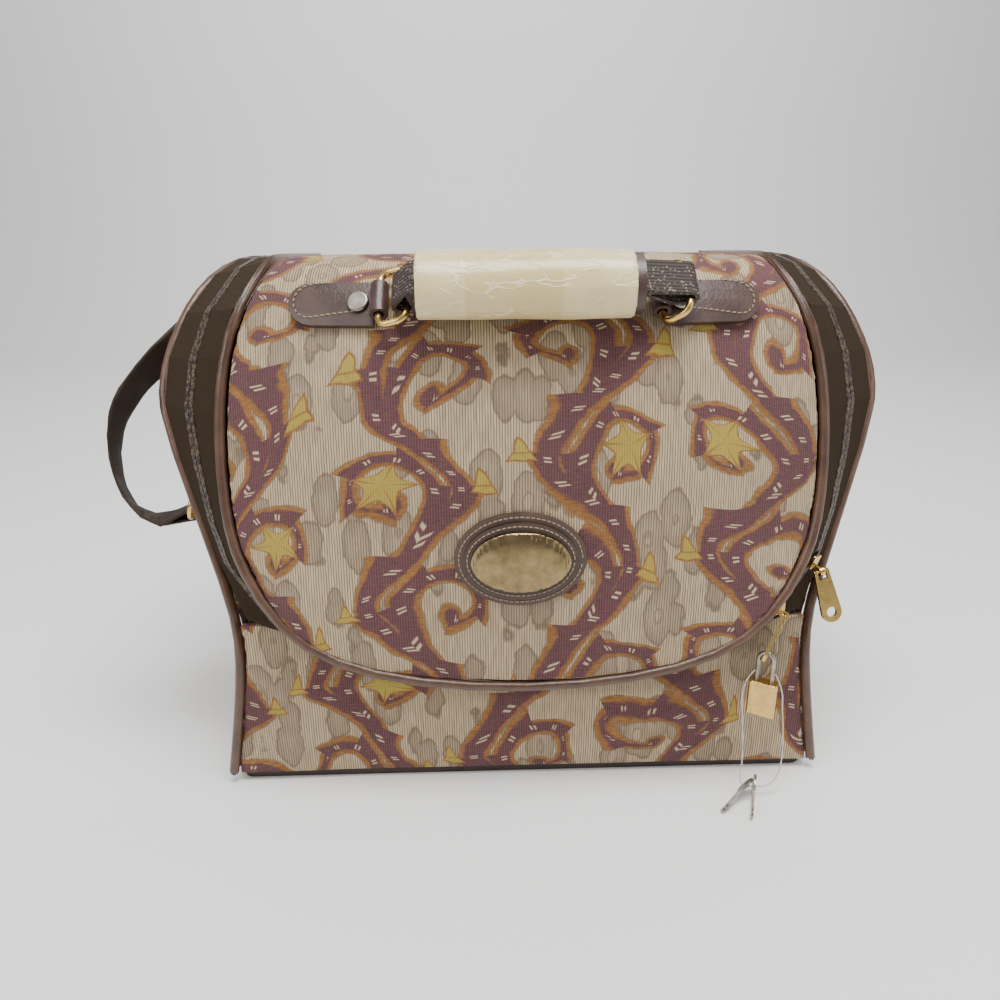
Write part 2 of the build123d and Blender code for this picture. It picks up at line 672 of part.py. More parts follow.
def handle_grip():
    half = 0.5 * GRIP_LENGTH
    slot = Box(GRIP_LENGTH + 2, WEB_WIDTH + 2 * GRIP_CLEARANCE, WEB_THICKNESS + 2 * GRIP_CLEARANCE)
    return grip_tube(GRIP_SIZE, -half, half) - handle * Pos(0, RING_V, GRIP_W) * slot


def handle_sleeve():
    inner = [s + 2 * GRIP_CLEARANCE for s in GRIP_SIZE]
    outer = [s + 2 * SLEEVE_WALL for s in inner]
    return grip_tube(outer, SLEEVE_LEFT, SLEEVE_RIGHT) - grip_tube(inner, SLEEVE_LEFT - 1, SLEEVE_RIGHT + 1)


def zip_frame(height):
    """Frame on the zip's line at the right side: x towards the case, z out of the bag."""
    _, middle, mouth = gusset_lines()
    i = min(range(1, len(middle) // 2), key=lambda k: abs(middle[k].Z - height))
    across = (mouth[i] - middle[i]).normalized()
    return Plane(origin=middle[i], x_dir=across, z_dir=(middle[i + 1] - middle[i - 1]).cross(across))


def slider(frame, eye):
    """Body that holds the case's coil between two plates, and an eye for the pull."""
    plate = Box(SLIDER_WIDTH, SLIDER_LENGTH, SLIDER_PLATE)
    plate = fillet(plate.edges().filter_by(Axis.Z), 1.5)
    level = 0.5 * COIL_HEIGHT + SLIDER_GAP + 0.5 * SLIDER_PLATE
    cheek = Box(1.5, SLIDER_LENGTH - 3.0, 2 * level)
    body = Pos(SLIDER_SHIFT, 0, level) * plate + Pos(SLIDER_SHIFT, 0, -level) * plate
    body += Pos(SLIDER_SHIFT - 0.5 * SLIDER_WIDTH + 0.75, 0, 0) * cheek
    centre = frame.to_local_coords(eye.origin)
    foot = Box(EYE_THICKNESS, EYE_THICKNESS, centre.Z - level)
    body += Pos(centre.X, centre.Y, 0.5 * (centre.Z + level)) * foot
    ring = Cylinder(EYE_RADIUS, EYE_THICKNESS)
    hole = Cylinder(EYE_HOLE, 3 * PULL_NECK)
    arm_room = Cylinder(2 * PULL_THICKNESS * 0.55, PULL_NECK - EYE_HOLE)
    along_bar = eye * Rot(0, 90, 0)
    shape = (frame * body + along_bar * ring) - along_bar * hole
    for side in (-1, 1):
        shape -= along_bar * Pos(0, 0, side * 0.9 * PULL_NECK) * arm_room
    return shape


def slider_room(side):
    """Block that clears the lid's coil, or its tape, from round a slider."""
    if side == "coil":
        middle = 0.5 * (SLIDER_LENGTH - SLIDER_ROOM) + 2.0
        return Pos(0, middle, 0) * Box(4 * SLIDER_WIDTH, SLIDER_ROOM, 4 * COIL_HEIGHT)
    room = 4 * SLIDER_GAP
    height = COIL_HEIGHT + 2 * SLIDER_PLATE + room
    return Pos(SLIDER_SHIFT, 0, 0) * Box(SLIDER_WIDTH + room, SLIDER_LENGTH + room, height)


def zip_channel():
    """Space that the case's half of the zip takes up in a slider."""
    play = 0.6 * SLIDER_GAP
    coil = gusset_band("case", coil_near - play, coil_far + play, COIL_HEIGHT + 2 * play)
    return coil, gusset_band("case", coil_far, None, TAPE_THICKNESS + 2 * play)


def eye_frame(frame, down, face):
    """Frame of a pull: origin at its bar, x along the bar, y back up the pull, z out of its face."""
    down = Vector(*down).normalized()
    face = Vector(*face)
    face = (face - down * face.dot(down)).normalized()
    level = 0.5 * COIL_HEIGHT + SLIDER_GAP + SLIDER_PLATE + EYE_RISE * EYE_RADIUS
    origin = frame.from_local_coords(Vector(SLIDER_SHIFT, -EYE_SETBACK, level))
    return Plane(origin=origin, x_dir=face.cross(down), z_dir=face)


def pull():
    bar = Rot(0, 90, 0) * Cylinder(PULL_BAR, 2 * PULL_NECK)
    tip = Pos(0, 0.5 * PULL_WIDTH - PULL_LENGTH) * Circle(0.5 * PULL_WIDTH)
    neck = [Pos(side * (PULL_NECK - 1.0), 0) * Circle(1.0) for side in (-1, 1)]
    outline = make_hull([e for shape in [tip] + neck for e in shape.edges()])
    window = Pos(0, -2.4) * Rectangle(2 * PULL_NECK - 3.2, 3.6)
    room = Pos(0, 0.7) * Rectangle(2 * PULL_NECK - 3.2, 3.0)
    outline = outline - window - room - Pos(0, 0.5 * PULL_WIDTH - PULL_LENGTH) * Circle(PULL_HOLE)
    return extrude(outline, 0.5 * PULL_THICKNESS, both=True) + bar


def lock_frame(eye):
    """Frame at the top of the shackle, in the pull's hole: x across the shackle, z up."""
    hole = eye.from_local_coords(Vector(0, 0.5 * PULL_WIDTH - PULL_LENGTH, 0))
    across = Vector(eye.z_dir.X, eye.z_dir.Y, 0).normalized()
    return Plane(origin=hole, x_dir=across, z_dir=(0, 0, 1))


def shackle():
    half = 0.5 * SHACKLE_WIDTH
    foot = -SHACKLE_HEIGHT - SHACKLE_SEAT
    sides = [Line((-half, foot), (-half, -half)), Line((half, -half), (half, foot))]
    bow = RadiusArc((-half, -half), (half, -half), half)
    path = Plane.XZ * Wire([sides[0].edge(), bow.edge(), sides[1].edge()])
    return sweep(Plane(origin=path @ 0, z_dir=path % 0) * Circle(SHACKLE_WIRE), path=path)


def padlock_body():
    length, width, height = LOCK_SIZE
    body = Box(length, width, height, align=(Align.CENTER, Align.CENTER, Align.MAX))
    body = fillet(body.edges().filter_by(Axis.Z), 2.0)
    body = chamfer(body.edges().group_by(Axis.Z)[0] + body.edges().group_by(Axis.Z)[-1], 0.5)
    bore = Cylinder(SHACKLE_WIRE + SHACKLE_CLEARANCE, SHACKLE_SEAT + 1.0, align=(Align.CENTER, Align.CENTER, Align.MAX))
    for side in (-1, 1):
        body -= Pos(side * 0.5 * SHACKLE_WIDTH, 0, 0) * bore
    keyway = Pos(0, 0, -height) * (Cylinder(2.0, 1.6) + Pos(0, 1.6, 0) * Box(1.2, 3.2, 1.6))
    return Pos(0, 0, -SHACKLE_HEIGHT) * (body - keyway)


def key():
    """Flat key with its bow's hole at the origin and its blade along -Y."""
    bow = Ellipse(*KEY_BOW)
    blade = Pos(0, -0.5 * (KEY_LENGTH + KEY_BOW[1])) * Rectangle(KEY_BLADE, KEY_LENGTH - KEY_BOW[1] + 2.0)
    shape = bow + blade
    for y in (-KEY_LENGTH + 1.5, -KEY_LENGTH + 4.5):
        shape += Pos(1.2, y - 1.0) * Rectangle(2.4, 1.4)
    return extrude(shape - Circle(KEY_HOLE), 0.5 * KEY_THICKNESS, both=True)


def key_place(centre, tip, side):
    """Place of a key with its hole at one point and its blade towards another."""
    up = (Vector(*centre) - Vector(*tip)).normalized()
    across = Vector(*side)
    face = across.cross(up).normalized()
    return Plane(origin=centre, x_dir=up.cross(face), z_dir=face)


def rounded_path(points):
    """Straight runs joined by tangent arcs, each as large as its two runs allow."""
    points = [Vector(*p) for p in points]
    radii = []
    for before, point, after in zip(points, points[1:], points[2:]):
        run_in = point - before
        run_out = after - point
        half_turn = radians(0.5 * run_in.get_angle(run_out))
        radii.append(ARC_SHARE * min(run_in.length, run_out.length) / tan(half_turn))
    return FilletPolyline(*points, radius=radii), radii


# Nylon thread: from the shackle's left leg, down, through both keys and back up to its right leg.
THREAD_POINTS = [
    (121.4, -104.4, 70.0),
    (116.4, -106.8, 67.5),
    (113.6, -109.0, 57.0),
    (115.0, -111.4, 43.0),
    (116.0, -114.4, 21.0),
    (114.2, -116.6, 10.5),
    (116.4, -118.0, 6.4),
    (122.6, -117.6, 6.6),
    (129.0, -117.2, 5.4),
    (134.6, -116.6, 10.0),
    (137.4, -114.8, 20.0),
    (136.0, -115.0, 38.0),
    (133.0, -116.4, 54.0),
    (133.2, -114.2, 64.0),
    (130.5, -109.2, 70.0),
]


def thread():
    path, radii = rounded_path(THREAD_POINTS)
    print("thread length", round(path.length, 1), "least radius", round(min(radii), 1))
    return sweep(Plane(origin=path @ 0, z_dir=path % 0) * Circle(THREAD_RADIUS), path=path)


def ring_seat(y, z):
    """Middle of the loop that holds a strap ring against the right side panel."""
    return Vector(side_x(y, z) + SEAM_GAP + LOOP_INNER + LEATHER + 0.6, y, z)


def strap_tab(y, z):
    """Leather tab sewn on the right side panel, with a loop at its foot."""
    starts = []
    ends = []
    top = z + STRAP_TAB_LENGTH
    for share in (0, 0.1, 0.25, 0.5, 0.75, 1):
        level = top + (z + LOOP_INNER + 0.6 - top) * share
        half = STRAP_TAB_HALF_WIDTH * min(1, 0.55 + 3 * share)
        starts.append(case_edge(y - half, level))
        ends.append(case_edge(y + half, level))
    strip = ribbon(starts, ends, SEAM_GAP, SEAM_GAP + 2 * LEATHER)
    seat = Plane(origin=ring_seat(y, z), z_dir=(0, 1, 0))
    strip += seat * Cylinder(LOOP_INNER + LEATHER, 2 * STRAP_TAB_HALF_WIDTH)
    return strip - seat * Cylinder(LOOP_INNER, 4 * STRAP_TAB_HALF_WIDTH)


def strap_ring(y, z):
    """Oval ring that hangs from its tab, a little out from the panel."""
    down = Vector(STRAP_RING_OUT, 0, -1).normalized()
    frame = Plane(origin=ring_seat(y, z), x_dir=(0, 1, 0), z_dir=Vector(0, 1, 0).cross(down))
    return frame * oval_ring(STRAP_RING_LENGTH, STRAP_RING_WIDTH, RING_CORNER, RING_WIRE)


def strap_loop(y, z, to_x, to_z):
    """Sewn end of the strap round the low bar of its ring, drawn on the right side."""
    down = Vector(STRAP_RING_OUT, 0, -1).normalized()
    bar = ring_seat(y, z) + down * STRAP_RING_WIDTH
    gap = RING_WIRE + 0.5
    outer = [Pos(bar.X, bar.Z) * Circle(gap + STRAP_THICKNESS), Pos(to_x, to_z) * Circle(0.5 * STRAP_THICKNESS)]
    lead_x = bar.X + 0.45 * (to_x - bar.X)
    lead_z = bar.Z + 0.45 * (to_z - bar.Z)
    inner = [Pos(bar.X, bar.Z) * Circle(gap), Pos(lead_x, lead_z) * Circle(0.3)]
    loop = [make_hull([e for shape in shapes for e in shape.edges()]) for shapes in (outer, inner)]
    side = Plane(origin=(0, y, 0), x_dir=(1, 0, 0), z_dir=(0, -1, 0))
    return side * extrude(loop[0] - loop[1], 0.5 * STRAP_WIDTH, both=True)


# Route of the strap from the left ring round the back to the right one, with its width's direction.
STRAP_ROUTE = [
    ((-197.0, -48.0, 141.0), (0.0, 1.0, 0.0)),
    ((-210.0, -46.0, 142.5), (-0.05, 0.95, -0.3)),
    ((-220.0, -43.0, 150.0), (-0.1, 0.82, -0.57)),
    ((-225.0, -41.0, 163.0), (-0.1, 0.76, -0.65)),
    ((-225.5, -40.0, 182.0), (-0.1, 0.75, -0.65)),
    ((-221.0, -37.0, 200.0), (-0.1, 0.75, -0.65)),
    ((-210.0, -27.0, 217.0), (-0.1, 0.7, -0.7)),
    ((-199.0, -10.0, 230.0), (-0.15, 0.5, -0.85)),
    ((-194.5, 15.0, 238.0), (-0.15, 0.3, -0.94)),
    ((-193.0, 45.0, 238.0), (-0.15, 0.1, -0.98)),
    ((-193.0, 78.0, 233.0), (-0.15, 0.0, -0.98)),
    ((-191.0, 92.0, 228.0), (-0.18, 0.0, -0.98)),
    ((-183.0, 101.0, 220.0), (-0.3, 0.0, -0.95)),
    ((-162.0, 102.0, 204.0), (-0.5, 0.0, -0.87)),
    ((-125.0, 101.0, 168.0), (-0.6, 0.0, -0.8)),
    ((-80.0, 101.0, 132.0), (-0.42, 0.0, -0.9)),
    ((-30.0, 101.0, 112.0), (-0.07, 0.0, -1.0)),
    ((30.0, 101.0, 108.0), (-0.07, 0.0, -1.0)),
    ((85.0, 101.0, 126.0), (0.4, 0.0, -0.9)),
    ((135.0, 101.0, 164.0), (0.55, 0.0, -0.83)),
    ((165.0, 102.0, 190.0), (0.45, 0.0, -0.9)),
    ((183.0, 101.5, 199.0), (0.3, 0.0, -0.95)),
    ((192.0, 93.0, 204.0), (0.2, 0.0, -0.98)),
    ((195.0, 72.0, 207.0), (0.15, 0.0, -0.98)),
    ((200.0, 45.0, 203.0), (0.15, 0.25, -0.95)),
    ((204.0, 28.0, 192.0), (0.2, 0.6, -0.75)),
    ((204.0, 15.0, 177.0), (0.1, 0.95, -0.2)),
    ((200.5, 10.0, 163.0), (0.0, 1.0, 0.0)),
]


def strap():
    starts = []
    ends = []
    for point, width in STRAP_ROUTE:
        half = Vector(*width).normalized() * (0.5 * STRAP_WIDTH)
        starts.append(Vector(*point) - half)
        ends.append(Vector(*point) + half)
    band = ribbon(starts, ends, -0.5 * STRAP_THICKNESS, 0.5 * STRAP_THICKNESS)
    left_end = STRAP_ROUTE[0][0]
    right_end = STRAP_ROUTE[-1][0]
    left = strap_loop(*LEFT_RING, -left_end[0], left_end[2]).mirror(Plane.YZ)
    return band + left + strap_loop(*RIGHT_RING, right_end[0], right_end[2])


def strap_slide():
    """Keeper on the strap at the middle of its drape."""
    length, width, depth = SLIDE_SIZE
    frame = fillet(Box(length, width, depth).edges().filter_by(Axis.Z), 2.0)
    frame -= Box(length + 2, STRAP_WIDTH + 0.8, STRAP_THICKNESS + 0.6)
    frame -= Box(length - 6, STRAP_WIDTH - 2, depth + 2)
    low, high = [Vector(*p) for p, _ in STRAP_ROUTE[16:18]]
    return Plane(origin=(low + high) * 0.5, x_dir=high - low, z_dir=(0, 1, 0)) * frame


nodes = {
    "side_panel_right": side_panel(),
    "side_panel_left": side_panel().mirror(Plane.YZ),
    "side_piping_right": tube(side_piping_points(), PIPING_RADIUS),
    "side_piping_left": tube(side_piping_points(), PIPING_RADIUS).mirror(Plane.YZ),
    "back_panel": back_panel(),
    "front_lower_panel": front_lower_panel(),
    "base_panel": base_panel(),
    "case_lining": case_lining(),
    "lid_piping": tube(mirrored(lid_edge_points()), PIPING_RADIUS),
    "lid_panel": lid_sheet(PIPING_RADIUS + 5 * SEAM_GAP, 0, LID_WALL),
}
lining_face = LID_WALL + SEAM_GAP
lining_inset = PIPING_RADIUS + 6 * SEAM_GAP
nodes["lid_lining"] = lid_sheet(lining_inset, lining_face, lining_face + LID_LINING_WALL)
coil_near = 0.5 * COIL_GAP
coil_far = coil_near + COIL_WIDTH
for side in ("lid", "case"):
    nodes["zip_coil_" + side] = gusset_band(side, coil_near, coil_far, COIL_HEIGHT)
    nodes["zip_tape_" + side] = gusset_band(side, coil_far, None, TAPE_THICKNESS)

# What is sewn to the piping stops clear of it.
lid_seam = tube(mirrored(lid_edge_points()), PIPING_RADIUS + 0.5 * SEAM_GAP)
side_seam = tube(side_piping_points(), PIPING_RADIUS + 0.5 * SEAM_GAP)
nodes["zip_tape_lid"] -= lid_seam
for name in ("zip_tape_case", "back_panel"):
    nodes[name] = nodes[name] - side_seam - side_seam.mirror(Plane.YZ)
channel = zip_channel()
nodes["zip_coil_lid"] -= channel[0]

low = 0.0
for name, size, wall in (
    ("emblem_patch_outer", PATCH_OUTER_SIZE, PATCH_THICKNESS),
    ("emblem_patch_inner", PATCH_INNER_SIZE, PATCH_THICKNESS),
    ("emblem_plate", PLATE_SIZE, PLATE_THICKNESS),
):
    nodes[name] = badge_layer(size, low, low + wall)
    low += wall
nodes["handle_tab_right"] = tab(TAB_BAR_RIGHT)
nodes["handle_tab_left"] = tab(TAB_BAR_LEFT).mirror(Plane.YZ)
right_rivet = rivet(TAB_BAR_RIGHT + RIVET_INSET)
left_rivet = rivet(TAB_BAR_LEFT + RIVET_INSET).mirror(Plane.YZ)
nodes["tab_rivets"] = Compound([right_rivet, left_rivet])
nodes["handle_ring_left"] = handle_ring(-TAB_BAR_LEFT, RING_REST_LEFT)
nodes["handle_ring_right"] = handle_ring(TAB_BAR_RIGHT, RING_REST_RIGHT)
nodes["handle_webbing"] = handle_webbing()
nodes["handle_grip"] = handle_grip()
nodes["handle_sleeve"] = handle_sleeve()
for side, height, down, face in (
    ("side", SIDE_SLIDER_HEIGHT, SIDE_PULL_DOWN, SIDE_PULL_FACE),
    ("front", FRONT_SLIDER_HEIGHT, FRONT_PULL_DOWN, FRONT_PULL_FACE),
):
    frame = zip_frame(height)
    eye = eye_frame(frame, down, face)
    nodes["slider_" + side] = slider(frame, eye) - channel[0] - channel[1]
    nodes["pull_" + side] = eye * pull()
    for half in ("coil", "tape"):
        nodes[f"zip_{half}_lid"] -= frame * slider_room(half)
    print("pull_" + side, "bar", eye.origin, "along", eye.x_dir)
lock = lock_frame(eye)
nodes["padlock_shackle"] = lock * shackle()
nodes["padlock_body"] = lock * padlock_body()
nodes["key_flat"] = key_place(*KEY_FLAT) * key()
nodes["key_edge"] = key_place(*KEY_EDGE) * key()
nodes["key_thread"] = thread()
nodes["strap_tab_left"] = strap_tab(*LEFT_RING).mirror(Plane.YZ)
nodes["strap_tab_right"] = strap_tab(*RIGHT_RING)
nodes["strap_ring_left"] = strap_ring(*LEFT_RING).mirror(Plane.YZ)
nodes["strap_ring_right"] = strap_ring(*RIGHT_RING)
nodes["strap"] = strap()
nodes["strap_slide"] = strap_slide()

os.makedirs("parts", exist_ok=True)
for name, shape in nodes.items():
    export_step(shape, f"parts/{name}.step")
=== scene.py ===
import json
from math import cos, pi, radians, sin

import bmesh
import bpy
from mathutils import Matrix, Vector, noise
from mathutils.bvhtree import BVHTree


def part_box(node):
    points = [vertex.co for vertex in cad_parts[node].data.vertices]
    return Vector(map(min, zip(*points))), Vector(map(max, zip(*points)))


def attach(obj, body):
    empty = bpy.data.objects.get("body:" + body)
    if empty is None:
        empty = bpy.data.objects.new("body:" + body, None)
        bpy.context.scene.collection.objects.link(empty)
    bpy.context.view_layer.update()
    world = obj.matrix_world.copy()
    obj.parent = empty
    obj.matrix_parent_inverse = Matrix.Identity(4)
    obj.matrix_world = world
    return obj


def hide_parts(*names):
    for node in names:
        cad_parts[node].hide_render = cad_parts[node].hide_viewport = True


# A tapestry travel bag with a wrap-over lid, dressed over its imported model. Metres, front at -Y.
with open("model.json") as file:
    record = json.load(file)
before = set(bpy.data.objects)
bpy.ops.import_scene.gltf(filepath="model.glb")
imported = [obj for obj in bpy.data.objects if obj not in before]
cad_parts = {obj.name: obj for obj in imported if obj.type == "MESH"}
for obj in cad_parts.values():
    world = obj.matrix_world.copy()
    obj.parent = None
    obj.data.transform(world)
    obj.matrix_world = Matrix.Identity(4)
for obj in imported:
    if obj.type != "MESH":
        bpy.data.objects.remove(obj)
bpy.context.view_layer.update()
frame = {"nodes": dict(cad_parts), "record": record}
MM = 0.001

# Camera, at the photograph's angle
CAMERA_AT = Vector((-0.0232, -0.4501, 0.2821))
CAMERA_YAW = radians(1.75)
CAMERA_PITCH = radians(18.35)
CAMERA_ROLL = radians(0.4)
FOCAL_PIXELS = 751.0
FRAME_PIXELS = 1000.0


def place_camera():
    data = bpy.data.cameras.new("camera")
    data.sensor_width = 36.0
    data.lens = data.sensor_width * FOCAL_PIXELS / FRAME_PIXELS
    camera = bpy.data.objects.new("camera", data)
    bpy.context.collection.objects.link(camera)
    camera.location = CAMERA_AT
    camera.rotation_mode = "XYZ"
    camera.rotation_euler = (pi / 2 - CAMERA_PITCH, CAMERA_ROLL, -CAMERA_YAW)
    bpy.context.scene.camera = camera


place_camera()


# Colours, as scene-linear values
CREAM = (0.58, 0.455, 0.295)
CREAM_SHADE = (0.33, 0.25, 0.155)
RIB = (0.10, 0.066, 0.042)
PLUM = (0.072, 0.026, 0.042)
WINE = (0.145, 0.055, 0.060)
RUST = (0.24, 0.095, 0.036)
GOLD_THREAD = (0.46, 0.31, 0.075)
LEAF_GREEN = (0.33, 0.28, 0.05)
TAUPE = (0.20, 0.150, 0.108)
BROWN_LEATHER = (0.115, 0.056, 0.030)


class Field:
    """A number that a material works out at each point, written as plain arithmetic."""

    def __init__(self, tree, socket):
        self.tree = tree
        self.socket = socket

    def math(self, operation, *others):
        node = self.tree.nodes.new("ShaderNodeMath")
        node.operation = operation
        for i, value in enumerate((self, *others)):
            if isinstance(value, Field):
                self.tree.links.new(value.socket, node.inputs[i])
            else:
                node.inputs[i].default_value = value
        return Field(self.tree, node.outputs[0])

    def __add__(self, other):
        return self.math("ADD", other)

    def __sub__(self, other):
        return self.math("SUBTRACT", other)

    def __mul__(self, other):
        return self.math("MULTIPLY", other)

    def __truediv__(self, other):
        return self.math("DIVIDE", other)

    def part(self, period):
        """What is left of the number over whole periods, from 0 to 1."""
        return (self / period).math("FRACT")

    def sin(self):
        return self.math("SINE")

    def size(self):
        return self.math("ABSOLUTE")

    def below(self, limit, soft):
        """1 well below the limit and 0 above it, with an edge of the given softness."""
        node = self.tree.nodes.new("ShaderNodeMapRange")
        node.interpolation_type = "SMOOTHSTEP"
        self.tree.links.new(self.socket, node.inputs["Value"])
        for name, value in (("From Min", -soft), ("From Max", soft), ("To Min", 1.0), ("To Max", 0.0)):
            node.inputs[name].default_value = value
        if isinstance(limit, Field):
            self.tree.links.new((self - limit).socket, node.inputs["Value"])
        else:
            node.inputs["From Min"].default_value = limit - soft
            node.inputs["From Max"].default_value = limit + soft
        return Field(self.tree, node.outputs[0])


class Finish:
    """A material made of procedural nodes."""

    def __init__(self, name, rough, metal=0.0, specular=0.5, sheen=0.0, coat=0.0):
        self.material = bpy.data.materials.new(name)
        self.material.use_nodes = True
        self.tree = self.material.node_tree
        self.shader = self.tree.nodes["Principled BSDF"]
        self.shader.inputs["Roughness"].default_value = rough
        self.shader.inputs["Metallic"].default_value = metal
        self.shader.inputs["Specular IOR Level"].default_value = specular
        self.shader.inputs["Sheen Weight"].default_value = sheen
        self.shader.inputs["Coat Weight"].default_value = coat
        self.place = self.tree.nodes.new("ShaderNodeTexCoord")
        self.height = None

    def axes(self, source="Object", scale=1000.0):
        """The point's coordinates in millimetres."""
        split = self.tree.nodes.new("ShaderNodeSeparateXYZ")
        self.tree.links.new(self.place.outputs[source], split.inputs[0])
        return [Field(self.tree, split.outputs[i]) * scale for i in range(3)]

    def noise(self, size, detail=3.0, rough=0.5, source="Object", stretch=(1, 1, 1)):
        """Cloudy number from 0 to 1, with clouds about the given size in millimetres."""
        mapping = self.tree.nodes.new("ShaderNodeMapping")
        mapping.inputs["Scale"].default_value = [1000.0 / (size * s) for s in stretch]
        self.tree.links.new(self.place.outputs[source], mapping.inputs[0])
        node = self.tree.nodes.new("ShaderNodeTexNoise")
        node.inputs["Scale"].default_value = 1.0
        node.inputs["Detail"].default_value = detail
        node.inputs["Roughness"].default_value = rough
        self.tree.links.new(mapping.outputs[0], node.inputs["Vector"])
        return Field(self.tree, node.outputs["Fac"])

    def cells(self, size, source="Object", stretch=(1, 1, 1)):
        """Distance from the nearest of many scattered seeds, 0 to about 1."""
        mapping = self.tree.nodes.new("ShaderNodeMapping")
        mapping.inputs["Scale"].default_value = [1000.0 / (size * s) for s in stretch]
        self.tree.links.new(self.place.outputs[source], mapping.inputs[0])
        node = self.tree.nodes.new("ShaderNodeTexVoronoi")
        node.inputs["Scale"].default_value = 1.0
        self.tree.links.new(mapping.outputs[0], node.inputs["Vector"])
        return Field(self.tree, node.outputs["Distance"])

    def blend(self, under, over, share):
        """Colour that goes from one to the other as the share goes from 0 to 1."""
        node = self.tree.nodes.new("ShaderNodeMix")
        node.data_type = "RGBA"
        self.tree.links.new(share.socket, node.inputs["Factor"])
        for value, socket in ((under, node.inputs[6]), (over, node.inputs[7])):
            if isinstance(value, tuple):
                socket.default_value = (*value, 1.0)
            else:
                self.tree.links.new(value, socket)
        return node.outputs[2]

    def colour(self, value):
        if isinstance(value, tuple):
            self.shader.inputs["Base Color"].default_value = (*value, 1.0)
        else:
            self.tree.links.new(value, self.shader.inputs["Base Color"])

    def roughness(self, low, high, share):
        self.tree.links.new((share * (high - low) + low).socket, self.shader.inputs["Roughness"])

    def bump(self, height, depth, strength=1.0):
        """Raises the surface by the height field, times a depth in millimetres."""
        node = self.tree.nodes.new("ShaderNodeBump")
        node.inputs["Strength"].default_value = strength
        node.inputs["Distance"].default_value = depth * MM
        self.tree.links.new(height.socket, node.inputs["Height"])
        if self.height:
            self.tree.links.new(self.height, node.inputs["Normal"])
        self.height = node.outputs[0]
        self.tree.links.new(self.height, self.shader.inputs["Normal"])


# Tapestry: each vine climbs in an S, throws a curling branch into each bend and a leaf out of it
VINE_PERIOD = 122.0
VINE_SPACING = 84.0
VINE_SWAY = 21.0
VINE_HALF_WIDTH = 5.0
THORN_LENGTH = 7.5
CURL_SHIFT = 15.0
CURL_START = -1.27
CURL_OUTER = 21.0
CURL_TIGHTENING = 10.5
CURL_FLARE = 13.5
CURL_HALF_WIDTH = 5.0
CURL_HOOK = 6.0
BULB_RADIUS = 4.4
STAR_RADIUS = 14.0
SHOOT_SHIFT = 33.0
SHOOT_RADIUS = 5.0
OUTLINE = 1.9
DASH_PITCH = 12.0
RIB_PITCH = 1.3


